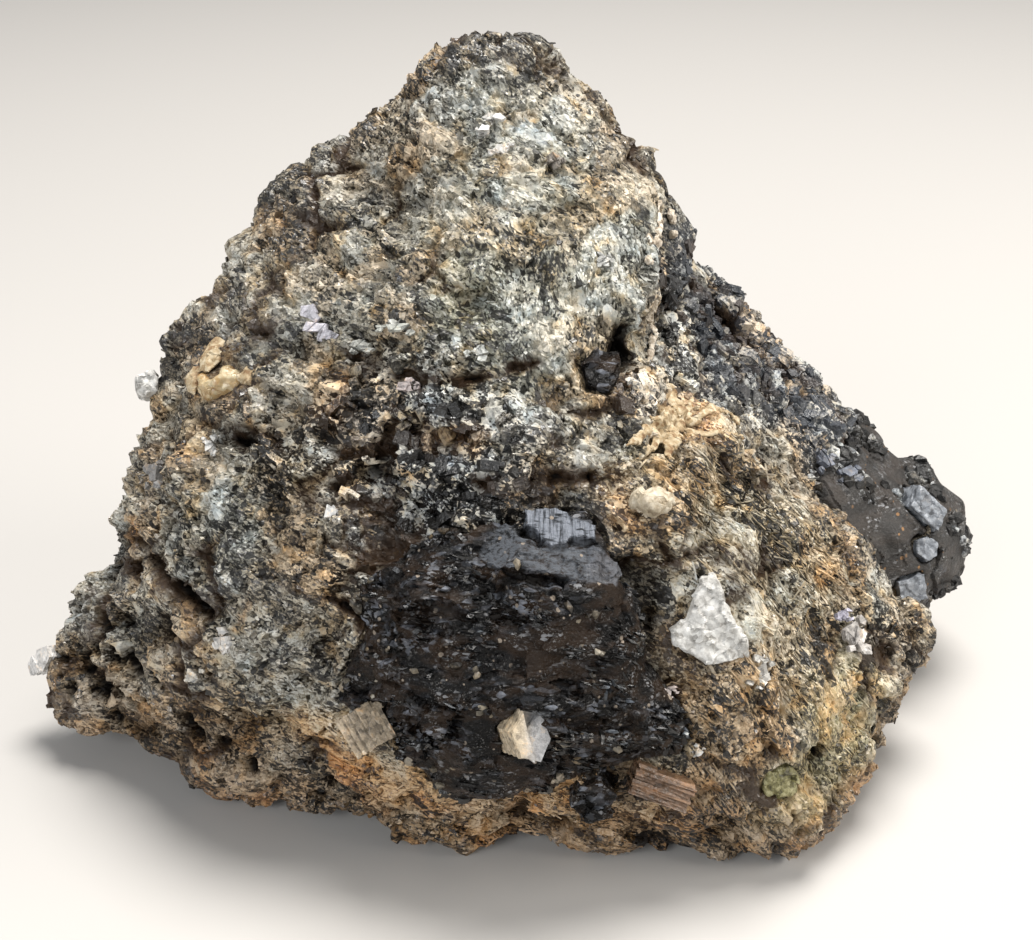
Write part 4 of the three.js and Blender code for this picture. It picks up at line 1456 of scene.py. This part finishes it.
def makeLooseBooks():
    parts, tones, tints = [], [], []
    for index, (place, (width, height, depth), looks, leaves, tint) in enumerate(looseBooks):
        rng = np.random.default_rng(700 + index)
        basis = np.stack(faceBasis(looks))
        for part in range(looseForm["stacks"]):  # one main stack, and smaller ones broken off around it
            main = part == 0
            share = looseForm["main"] if main else rng.uniform(*looseForm["smaller"])
            spot = np.zeros(2) if main else rng.uniform(-0.46, 0.46, 2) * (width, height)
            corners = int(rng.integers(4, 7))
            angle = (np.arange(corners) + rng.uniform(-0.4, 0.4, corners)) / corners * turn
            angle += rng.uniform(0, 6)
            radius = rng.uniform(0.34, 0.56, corners)
            outline = [np.cos(angle) * width * share * radius, np.sin(angle) * height * share * radius]
            thick = depth * (0.8 if main else rng.uniform(0.35, 0.7))
            outline = np.stack(outline, 1) * 1.15
            stack, faces, stackTones = stackOfLeaves(outline, -0.70 * thick, 0.26 * thick, leaves, rng)
            stack[:, 2] += stack[:, :2] @ rng.normal(0, looseForm["lean"], 2)
            stack[:, :2] += spot
            parts.append((np.array(place) + stack @ basis, faces))
            tones.append(stackTones)
            tints.append(np.tile(np.array(tint) * 0.74 * rng.uniform(0.75, 1.1), (len(stackTones), 1)))
    piece = leafMesh("loose_mica_books", *joined(parts), np.concatenate(tones), np.concatenate(tints))
    dress(piece, micaLeaves)


makeBooks()
makeLooseBooks()
print("mica books finished")

# Things that lie on the rock: the milky quartz patch, the pale vein and the rusty crust

quartzPatch = {
    "outline": [
        (19.6, -27.5, 36.6), (21.1, -27.1, 36.7), (22.0, -28.3, 34.6), (22.9, -29.3, 32.6),
        (24.5, -30.0, 30.2), (24.9, -30.3, 28.1), (22.4, -31.2, 28.0), (20.2, -31.4, 28.0),
        (18.6, -30.8, 28.8), (16.6, -30.1, 29.6), (16.2, -29.5, 31.1), (18.1, -29.2, 32.3),
        (18.9, -28.4, 34.2),
    ],
    "rise": 0.85,
    "sink": 3.2,
    "voxel": 0.2,
    "smoothing": 3,
    "knobs": (0.9, 0.2),
    "broken": (1.7, 0.25, 0.55),
}
# The line each arm follows, and how thick it starts, and lumps with their place, looks and size.
# All are laid on the rock as it lies.
paleVein = {
    "arms": [
        (
            [
                (17.0, 4.4, 66.6), (16.6, 1.6, 64.6), (15.6, -1.0, 63.2), (15.6, -2.0, 60.6),
                (15.7, -1.7, 57.6), (15.5, -2.9, 55.1), (15.5, -4.7, 52.5), (16.5, -9.0, 51.6),
                (17.6, -9.4, 48.4),
            ],
            0.50,
        ),
    ],
    "lumps": [
        ((15.2, -1.4, 63.3), (0.74, -0.48, 0.47), (1.7, 3.0, 1.3)),
        ((15.4, -3.4, 62.1), (0.74, -0.48, 0.47), (2.0, 2.2, 1.3)),
        ((18.6, 8.4, 63.4), (0.81, -0.52, 0.28), (2.4, 3.4, 1.6)),
        ((18.8, 7.6, 61.4), (0.81, -0.52, 0.28), (1.7, 2.2, 1.3)),
        ((15.5, -3.8, 53.6), (0.6, -0.6, 0.5), (1.5, 2.6, 1.0)),
        ((15.8, -8.4, 52.0), (0.6, -0.6, 0.5), (1.4, 1.6, 1.0)),
    ],
    "voxel": 0.17,
    "smoothing": 1,
    "knobs": (0.8, 0.16),
    "taper": 0.2,
    "flat": 0.6,
    "twigs": 1,
    "broken": (0.9, 0.25, 0.45),
}
rustCrust = {
    "arms": [
        ([(17.8, -11.4, 46.3), (17.2, -8.8, 47.8), (17.2, -6.6, 49.1)], 1.7),
        ([(19.2, -10.6, 46.0), (20.0, -7.6, 46.6), (20.8, -3.8, 47.4)], 0.62),
        ([(18.2, -11.4, 46.2), (20.8, -9.9, 46.1), (24.0, -7.2, 45.9), (25.8, -4.9, 44.4)], 0.72),
        ([(18.6, -12.2, 46.0), (20.2, -12.4, 45.7), (22.5, -12.6, 45.5), (25.4, -10.6, 44.4)], 0.5),
        ([(17.6, -12.0, 47.0), (15.6, -14.4, 49.0), (14.4, -15.2, 50.4)], 1.15),
        ([(17.6, -12.2, 46.8), (15.4, -16.4, 48.6), (12.2, -21.9, 48.6)], 1.5),
        ([(17.6, -12.6, 46.4), (15.2, -18.4, 47.6), (13.2, -22.8, 48.0)], 1.25),
        ([(17.8, -12.8, 46.2), (17.0, -17.0, 46.4), (16.4, -20.8, 46.3)], 1.1),
    ],
    "lumps": [
        ((8.9, -16.2, 55.6), (0.3, -0.7, 0.6), (1.7, 2.6, 1.0)),
        ((9.7, -17.0, 54.2), (0.3, -0.7, 0.6), (1.4, 1.6, 0.9)),
        ((8.0, -16.6, 57.0), (0.3, -0.7, 0.6), (1.3, 1.2, 0.8)),
        ((17.4, -12.4, 46.9), (0.4, -0.5, 0.75), (5.2, 4.4, 1.3)),
        ((25.6, -5.5, 44.2), (0.7, -0.1, 0.7), (1.8, 2.8, 1.2)),
        ((-34.0, -2.0, 50.8), (-0.47, -0.31, 0.82), (3.4, 8.0, 2.0)),
        ((-36.6, -3.2, 48.0), (-0.54, -0.54, 0.64), (2.6, 5.2, 1.6)),
        ((-29.2, -6.2, 50.2), (-0.43, -0.6, 0.68), (3.4, 4.4, 2.2)),
    ],
    "voxel": 0.17,
    "smoothing": 1,
    "knobs": (0.8, 0.16),
    "taper": 0.72,
    "flat": 0.40,
    "twigs": 2,
    "broken": (1.1, 0.15, 0.30),
}
# A vein's middle is lifted off the rock, the more so the thicker it is.
tubeForm = {"sides": 7, "step": 0.6, "wander": 0.16, "lift": 0.05, "liftShare": 0.38}
reachDown = 9.0  # how far the rock is looked for


def roughened(piece, form, salt):
    points = pointsOf(piece.data)
    size, rise = form["knobs"]
    height = brokenHeight(points, *form["broken"], salt)
    swell(piece.data, height + rise * softNoise(points, size, salt + 4))
    return piece


def patchMesh(name, form, salt):
    corners = np.array(form["outline"])
    middle = corners.mean(0)
    out = np.cross(corners - middle, np.roll(corners, -1, axis=0) - middle).sum(0)
    out /= np.linalg.norm(out)
    if out @ shownFace < 0:
        out, corners = -out, corners[::-1]
    count = len(corners)
    top = middle + (corners - middle) * 0.94 + out * form["rise"]
    bottom = middle + (corners - middle) * 0.8 - out * form["sink"]
    hubs = [middle + out * (form["rise"] + 0.3), middle - out * form["sink"]]
    faces = []
    for k in range(count):
        n = (k + 1) % count
        faces += [(k, n, 3 * count), (2 * count + n, 2 * count + k, 3 * count + 1)]
        faces += wall(0, count, k, n) + wall(count, 2 * count, k, n)
    parts = [(np.concatenate([top, corners, bottom, hubs]), faces)]
    return roughened(keepLargest(remeshed(name, parts, form["voxel"], form["smoothing"])), form, salt)


def tubePoints(line, radius, rng, taper, flat):
    form = tubeForm
    line = np.array(line, float)
    reach = np.concatenate([[0], np.cumsum(np.linalg.norm(np.diff(line, axis=0), axis=1))])
    sides, steps = form["sides"], max(6, int(reach[-1] / form["step"]))
    places = np.linspace(0, reach[-1], steps)
    centres = np.stack([np.interp(places, reach, line[:, k]) for k in range(3)], 1)
    centres[1:-1] += rng.normal(0, form["wander"], (steps - 2, 3))
    looks = np.tile(shownFace, (steps, 1))
    for k, centre in enumerate(centres):  # down, or up, to the rock
        place, normal, _, _ = rockSurface.find_nearest(Vector(centre), reachDown)
        centres[k] = np.array(place) + (form["lift"] + form["liftShare"] * radius) * np.array(normal)
        looks[k] += 1.5 * np.array(normal)
    centres[1:-1] = 0.25 * centres[:-2] + 0.5 * centres[1:-1] + 0.25 * centres[2:]
    points, faces = [], []
    for k in range(steps):
        along = centres[min(k + 1, steps - 1)] - centres[max(k - 1, 0)]
        across = np.cross(along, looks[max(0, k - 2) : k + 3].mean(0))
        across /= np.linalg.norm(across)
        out = np.cross(across, along / np.linalg.norm(along))
        t = k / (steps - 1)
        swelling = radius * (1.0 - taper * t) * rng.uniform(0.7, 1.25) * min(1, 6 * min(t, 1 - t) + 0.35)
        for side in range(sides):
            angle = turn * side / sides
            points.append(centres[k] + swelling * (across * math.cos(angle) + flat * out * math.sin(angle)))
    points += [centres[0], centres[-1]]
    for k in range(steps - 1):
        for side in range(sides):
            a, b = k * sides + side, k * sides + (side + 1) % sides
            faces += [(a, b, b + sides), (a, b + sides, a + sides)]
    last = (steps - 1) * sides
    for side in range(sides):
        n = (side + 1) % sides
        faces += [(n, side, steps * sides), (last + side, last + n, steps * sides + 1)]
    return np.array(points), np.array(faces)


def grainShape(rng, thickness):  # a lump of twenty faces, none of them alike
    golden = (1 + 5 ** 0.5) / 2
    signs = [(one, far * golden) for far in (1, -1) for one in (-1, 1)]
    corners = [np.roll((one, far, 0), k) for k in range(3) for one, far in signs]
    faces = [
        (0, 11, 5), (0, 5, 1), (0, 1, 7), (0, 7, 10), (0, 10, 11), (1, 5, 9), (5, 11, 4), (11, 10, 2),
        (10, 7, 6),
        (7, 1, 8), (3, 9, 4), (3, 4, 2), (3, 2, 6), (3, 6, 8), (3, 8, 9), (4, 9, 5), (2, 4, 11), (6, 2, 10),
        (8, 6, 7), (9, 8, 1),
    ]
    points = np.array(corners) / 3.8 * rng.uniform(0.62, 1.12, (12, 1))  # 3.8 across before that
    return points * (1.0, 0.78, 0.66 * thickness), faces


def lumpPoints(place, looks, size, rng):
    points, faces = grainShape(rng, 1.5)
    lying, normal, _, _ = rockSurface.find_nearest(Vector(place), reachDown)
    return points * size @ np.stack(faceBasis(looks)) + np.array(lying) + 0.1 * np.array(normal), faces


def crustMesh(name, form, salt):
    rng = np.random.default_rng(salt)
    parts = []
    for line, radius in form["arms"]:
        parts.append(tubePoints(line, radius, rng, form["taper"], form["flat"]))
        line = np.array(line)
        for _ in range(form["twigs"]):
            k = rng.integers(0, len(line) - 1)
            start = line[k] + (line[k + 1] - line[k]) * rng.uniform(0, 1)
            end = start + (line[k + 1] - line[k]) * 0.3 + rng.normal(0, 1.1, 3)
            parts.append(tubePoints([start, end], rng.uniform(0.30, 0.55), rng, 0.8, form["flat"]))
    parts += [lumpPoints(*lump, rng) for lump in form["lumps"]]
    return roughened(remeshed(name, parts, form["voxel"], form["smoothing"]), form, salt)


dress(patchMesh("white_quartz_patch", quartzPatch, 901), stones["quartz"], "white_quartz")
dress(crustMesh("pale_vein", paleVein, 911), stones["vein"])
dress(crustMesh("rusty_crust", rustCrust, 921), stones["rust"])
print("quartz, vein and crust finished")

# Flakes and grains, scattered over the rock: how thickly they lie in each zone, and how they gather.

flakeForms = {
    "dark_mica_flakes": {
        "shape": "plate", "count": 5000, "size": (0.30, 1.15), "thickness": 0.16, "wander": 0.30,
        "along": 0.5, "lift": 0.02, "finish": "darkFlake", "slot": "schist", "salt": 21, "base": 0.45,
        "zones": {"dark": 1.3, "pale": -0.25}, "gathered": "clusters",
    },
    "silver_mica_flakes": {
        "shape": "plate", "count": 4300, "size": (0.24, 0.95), "thickness": 0.13, "wander": 0.32,
        "along": 0.5, "lift": 0.03, "finish": "silverFlake", "slot": "mica", "salt": 22, "base": 0.50,
        "zones": {"pale": -0.10, "olive": 0.15, "dark": -0.36}, "gathered": "others",
    },
    "quartz_grains": {
        "shape": "grain", "count": 3400, "size": (0.30, 1.3), "thickness": 0.9, "wander": 0.9,
        "along": 0.5, "lift": -0.16, "finish": "quartzGrain", "slot": "quartz", "salt": 23, "base": 0.40,
        "zones": {"pale": 0.55, "rust": 0.35, "dark": -0.20, "smoky": -0.4}, "gathered": "between",
    },
    "blue_mica_slabs": {
        "shape": "slab", "count": 900, "size": (0.8, 3.0), "thickness": 0.17, "wander": 0.30,
        "along": 0.6, "lift": -0.02, "finish": "slab", "slot": "schist", "salt": 25, "base": -0.25,
        "zones": {"dark": 1.0}, "gathered": "evenly",
    },
    "mica_slivers": {
        "shape": "sliver", "count": 6500, "size": (0.35, 1.25), "thickness": 0.16, "wander": 0.24,
        "along": 1.0, "lift": 0.02, "finish": "sliver", "slot": "schist", "salt": 24, "base": 0.35,
        "zones": {"gold": 0.75, "pale": 0.35, "dark": -0.2}, "gathered": "evenly",
    },
    "mica_fibres": {
        "shape": "sliver", "count": 2600, "size": (0.7, 2.3), "thickness": 0.09, "wander": 0.22,
        "along": 1.0, "lift": 0.02, "narrow": 0.36, "finish": "fibre", "slot": "schist", "salt": 26,
        "base": -0.3, "zones": {"gold": 1.0, "dark": -0.5}, "gathered": "evenly",
    },
}
# Crumbs on the tourmalines, which have no zones of their own: made says what leads their colour instead.
crumbForms = {
    "front_crumbs": {
        "shape": "grain", "count": 300, "size": (0.35, 2.0), "thickness": 0.9, "wander": 0.9,
        "along": 0.0, "lift": -0.16, "slot": "schist", "salt": 31,
        "made": {"lump": (0.50, 0.42, 0.0), "dark": 0.0},
    },
    "schorl_splinters": {
        "shape": "sliver", "count": 1500, "size": (0.4, 1.8), "thickness": 0.30, "wander": 0.9,
        "along": 0.5, "lift": -0.02, "slot": "schorl", "salt": 33,
        "made": {"lump": (0.50, 0.60, 0.0), "dark": 1.0, "fibre": (1.0, -0.2, -0.45)},
    },
    "side_crumbs": {
        "shape": "grain", "count": 460, "size": (0.7, 3.2), "thickness": 0.9, "wander": 0.9, "along": 0.0,
        "lift": -0.10, "slot": "schist", "salt": 32, "made": {"lump": (0.45, 0.60, 0.0), "dark": 0.75},
    },
}
formsEach = 7  # how many shapes a kind of flake has
offSurface = 0.2  # where a crystal's surface is tested for rock around it
lookAbout = 8.0  # how far the rock is looked for from there
spareAttributes = ("share", "grainSpace", "fibre", "seat", "broken", "ledge", "silverGlare", "soil")


def prism(top, bottom, caps):
    count = len(top)
    faces = list(caps)
    for k in range(count):
        faces += wall(0, count, k, (k + 1) % count)
    return np.concatenate([top, bottom]), faces


def plateShape(rng, thickness):  # an irregular five-cornered plate, one across
    angle = (np.arange(5) + rng.uniform(-0.32, 0.32, 5)) / 5 * turn
    radius = rng.uniform(0.36, 0.58, 5)
    ring = np.stack([radius * np.cos(angle), radius * np.sin(angle)], 1)
    top = ring * rng.uniform(0.88, 1.0)
    top = np.column_stack([top, np.full(5, thickness / 2) + rng.uniform(-0.04, 0.04, 5)])
    bottom = np.column_stack([ring, np.full(5, -thickness / 2)])
    return prism(top, bottom, [(0, 1, 2), (0, 2, 3), (0, 3, 4), (7, 6, 5), (8, 7, 5), (9, 8, 5)])


def sliverShape(rng, thickness):  # a four-cornered splinter, longer than wide
    length, width = rng.uniform(0.9, 1.3), rng.uniform(0.16, 0.30)
    ring = [(-length, -0.2 * width), (-0.1 * length, -width), (length, 0.1 * width), (0.2 * length, width)]
    ring = np.array(ring) / 2
    top = np.column_stack([ring * 0.9, np.full(4, thickness / 2)])
    bottom = np.column_stack([ring, np.full(4, -thickness / 2)])
    return prism(top, bottom, [(0, 1, 2), (0, 2, 3), (6, 5, 4), (7, 6, 4)])


def slabShape(rng, thickness):  # a ragged plate in two steps, one leaf short of the other
    count = 8
    angle = (np.arange(count) + rng.uniform(-0.4, 0.4, count)) / count * turn
    radius = rng.uniform(0.30, 0.56, count)
    ring = np.stack([1.15 * radius * np.cos(angle), 0.8 * radius * np.sin(angle)], 1)
    short = np.column_stack([np.minimum(ring[:, 0], rng.uniform(0.05, 0.3)), ring[:, 1]])
    caps = []
    for k in range(1, count - 1):
        caps += [(0, k, k + 1), (count, count + k + 1, count + k)]
    steps = []
    for outline, low in ((ring, -thickness), (short * 0.93, 0.0)):
        top = np.column_stack([outline * 0.97, np.full(count, low + thickness)])
        steps.append(prism(top, np.column_stack([outline, np.full(count, low)]), caps))
    return joined(steps)


shapes = {"plate": plateShape, "slab": slabShape, "sliver": sliverShape, "grain": grainShape}


# A tree that strews several shapes over a surface, more of them where a mask is strong.
def makeScatterTree(name, forms, material):
    net, given, result, labels = newGroup(
        name, "GeometryNodeTree",
        [
            ("Geometry", "Geometry", None), ("Density", "Float", 1.0), ("Smallest", "Float", 1.0),
            ("Largest", "Float", 1.0), ("Wander", "Float", 0.5), ("Along", "Float", 0.5),
            ("Lift", "Float", 0.0), ("Seed", "Int", 1),
        ],
        [("Geometry", "Geometry")],
    )

    def named(attribute, kind):
        settings = {"data_type": kind}
        return net.put("GeometryNodeInputNamedAttribute", settings, Name=attribute)["Attribute"]

    def chance(kind, seed, **ends):
        return net.put("FunctionNodeRandomValue", {"data_type": kind}, Seed=seed, **ends)

    density = net.times(named("share", "FLOAT"), given["Density"])
    spread = {"Mesh": given["Geometry"], "Density": density, "Seed": given["Seed"]}
    strewn = net.put("GeometryNodeDistributePointsOnFaces", {"distribute_method": "RANDOM"}, **spread)
    stray = net.scaled(chance("FLOAT_VECTOR", 11, _0=(-1, -1, -1), _1=(1, 1, 1))[0], given["Wander"])
    upward = net.vectors("ADD", stray, strewn["Normal"])
    facing = net.put("FunctionNodeAlignRotationToVector", {"axis": "Z"}, Vector=upward)[0]
    aim = {"Rotation": facing, "Factor": given["Along"], "Vector": named("fibre", "FLOAT_VECTOR")}
    turned = net.put("FunctionNodeAlignRotationToVector", {"axis": "X", "pivot_axis": "Z"}, **aim)[0]
    skewed = net.sums("POWER", chance("FLOAT", 12, _2=0.0, _3=1.0)[1], 2.4)
    across = net.span(skewed, 0.0, 1.0, given["Smallest"], given["Largest"])
    raised = net.scaled(strewn["Normal"], given["Lift"])
    placed = net.put("GeometryNodeSetPosition", None, Geometry=strewn["Points"], Offset=raised)[0]
    pool = net.tree.nodes.new("GeometryNodeJoinGeometry")
    for form in forms:
        source = net.put("GeometryNodeObjectInfo", None, Object=form)["Geometry"]
        net.feed(pool, _0=net.put("GeometryNodeGeometryToInstance", None, Geometry=source)[0])
    which = chance("INT", 13, _4=0, _5=len(forms) - 1)[2]
    copies = {"Points": placed, "Instance": pool.outputs[0], "Pick_Instance": True, "Instance_Index": which}
    geometry = net.put("GeometryNodeInstanceOnPoints", None, Rotation=turned, Scale=across, **copies)[0]
    for label, seed in (("tone", 14), ("hue", 15)):
        values = {"Name": label, "Value": chance("FLOAT", seed, _2=0.0, _3=1.0)[1]}
        settings = {"data_type": "FLOAT", "domain": "INSTANCE"}
        geometry = net.put("GeometryNodeStoreNamedAttribute", settings, Geometry=geometry, **values)[0]
    geometry = net.put("GeometryNodeRealizeInstances", None, Geometry=geometry)[0]
    painted = net.put("GeometryNodeSetMaterial", None, Geometry=geometry, Material=material)[0]
    net.feed(result, Geometry=painted)
    return net.tree, labels


def areaOf(mesh, mask):
    corners = readOut(mesh.loops, "vertex_index", 1, whole).reshape(-1, 3)
    area = np.linalg.norm(crossOf(pointsOf(mesh), corners), axis=1) / 2
    return (area * mask[corners].mean(1)).sum()


def strew(name, form, host, share, material):
    rng = np.random.default_rng(form["salt"])
    bases = []
    for k in range(formsEach):
        points, faces = shapes[form["shape"]](rng, form["thickness"])
        points = points * (1, form.get("narrow", 1), 1)
        bases.append(asObject(f"{name}_form_{k}", meshFrom(f"{name}_form_{k}", points, faces)))
    tree, labels = makeScatterTree(name, bases, material)
    bed = host.data.copy()
    store(bed, "share", share)
    for label, value in form.get("made", {}).items():
        store(bed, label, np.full((len(share), *np.shape(value)), value))
    piece = asObject(name, bed)
    modifier = piece.modifiers.new("strewn", "NODES")
    modifier.node_group = tree
    modifier[labels["Density"]] = form["count"] / areaOf(bed, share) / mm ** 2
    modifier[labels["Smallest"]], modifier[labels["Largest"]] = form["size"]
    modifier[labels["Wander"]] = form["wander"]
    modifier[labels["Along"]] = form["along"]
    modifier[labels["Lift"]] = form["lift"] * mm
    modifier[labels["Seed"]] = form["salt"]
    settled(piece)
    for base in bases:
        bpy.data.objects.remove(base)
    dropStored(piece.data, spareAttributes)
    aboveFloor(piece.data)
    dress(piece)


flakeFinish = {
    "darkFlake": {"pick": (0.0, 0.40), "roughness": (0.16, 0.42), "streak": 0.10},
    "silverFlake": {"pick": (0.46, 1.0), "roughness": (0.14, 0.38), "streak": 0.16},
    "quartzGrain": {"pick": (0.40, 1.0), "roughness": (0.25, 0.60), "streak": 0.14},
    "crumb": {"pick": (0.0, 0.66), "roughness": (0.25, 0.60), "streak": 0.16},
    "slab": {"pick": (0.0, 0.60), "roughness": (0.20, 0.46), "streak": 0.26, "bump": 0.30},
    "sliver": {"pick": (0.06, 0.92), "roughness": (0.28, 0.70), "streak": 0.14},
    "fibre": {"pick": (0.26, 0.98), "roughness": (0.28, 0.66), "streak": 0.06},
    "splinter": {"pick": (0.0, 0.40), "roughness": (0.12, 0.34), "streak": 0.03},
}
flakeIor = 1.58


def makeFlakeMaterial(name):
    finish = flakeFinish[name]
    material, net, surface = newMaterial(name)
    where, hue = net.millimetres(), net.stored("hue")
    fine = net.noise(where, 2.4, 3.0, 0.6)
    pick = net.swayed(net.span(net.stored("tone"), 0.0, 1.0, *finish["pick"]), (fine, finish["streak"] * 5))
    mineral = net.group(mineralColour, Pick=pick, Hue=hue, Cavity=net.stored("cavity"), Where=where)
    gloss = net.span(hue, 0.0, 1.0, *finish["roughness"])
    relief = net.piled((fine, finish.get("bump", 0.14)))
    net.finish(surface, mineral["Colour"], gloss, relief, Specular_IOR_Level=mineral["Shine"], IOR=flakeIor)
    return material


# Flakes and grains of the rock itself, each kind where its mineral is at home.
def strewRock():
    points, normals = pointsOf(schist.data), normalsOf(schist.data)
    weight = {name: zoneWeight(points, name) for name in zones}
    clear = (points[:, 2] > 1.0) & (stored(schist, "seat") < 0.05) & (stored(schist, "cavity") < 0.85)
    front = 0.7 + 0.3 * (normals @ shownFace > 0)
    clusters, others = (
        0.35 + 0.65 * smoothStep(-0.3, 0.5, softNoise(points, size, salt))
        for size, salt in ((4.5, 811), (5.5, 812))
    )
    gathered = {"clusters": clusters, "others": others, "between": 1.2 - clusters, "evenly": 1}
    for name, form in flakeForms.items():
        share = form["base"]
        for zone, by in form["zones"].items():
            share = share + by * weight[zone]
        share = np.clip(share * gathered[form["gathered"]], 0, 2) * clear * front
        strew(name, form, schist, share, makeFlakeMaterial(form["finish"]))


# One where a crystal stands free of the rock, nothing where it is buried in it.
def standingFree(points, normals):
    free = np.ones(len(points))
    for index, place in enumerate(points + offSurface * normals):
        rock, looks, _, _ = rockSurface.find_nearest(Vector(place), lookAbout)
        if rock is not None and (Vector(place) - rock).dot(looks) < 0:
            free[index] = 0
    return free


# Crumbs of rock left on the two tourmalines, along the low edge of one, on the ridge and tip of the other,
# and black splinters on the front one.
def strewTourmalines():
    crumb, splinter = makeFlakeMaterial("crumb"), makeFlakeMaterial("splinter")
    for host in (frontTourmaline, sideTourmaline):
        points, normals = pointsOf(host.data), normalsOf(host.data)
        shown = (points[:, 2] > 1.5) * (normals @ shownFace > 0.05) * standingFree(points, normals)
        kind = "front_crumbs" if host == frontTourmaline else "side_crumbs"
        form = crumbForms[kind]
        patchy = smoothStep(0.0, 0.35, softNoise(points, 2.6, form["salt"]))
        if host == frontTourmaline:
            plain = stored(host, "ledge") < 0.02
            low = smoothStep(18.5, 14.0, points[:, 2] + 2.5 * softNoise(points, 3.0, form["salt"] + 1))
            share = (low * 0.6 * (0.3 + patchy) + 0.03 * patchy) * plain
        else:
            ridge, tip = smoothStep(0.35, 0.8, normals[:, 2]), smoothStep(52.0, 57.0, points[:, 0])
            share = ridge * patchy + tip * patchy + 0.04 * patchy
        strew(kind, form, host, np.clip(share, 0, 1) * shown, crumb)
        if host == frontTourmaline:
            share = smoothStep(0.0, 0.5, softNoise(points, 3.0, form["salt"] + 2)) * plain
            strew("schorl_splinters", crumbForms["schorl_splinters"], host, share * shown, splinter)


strewRock()
strewTourmalines()
print("flakes strewn")
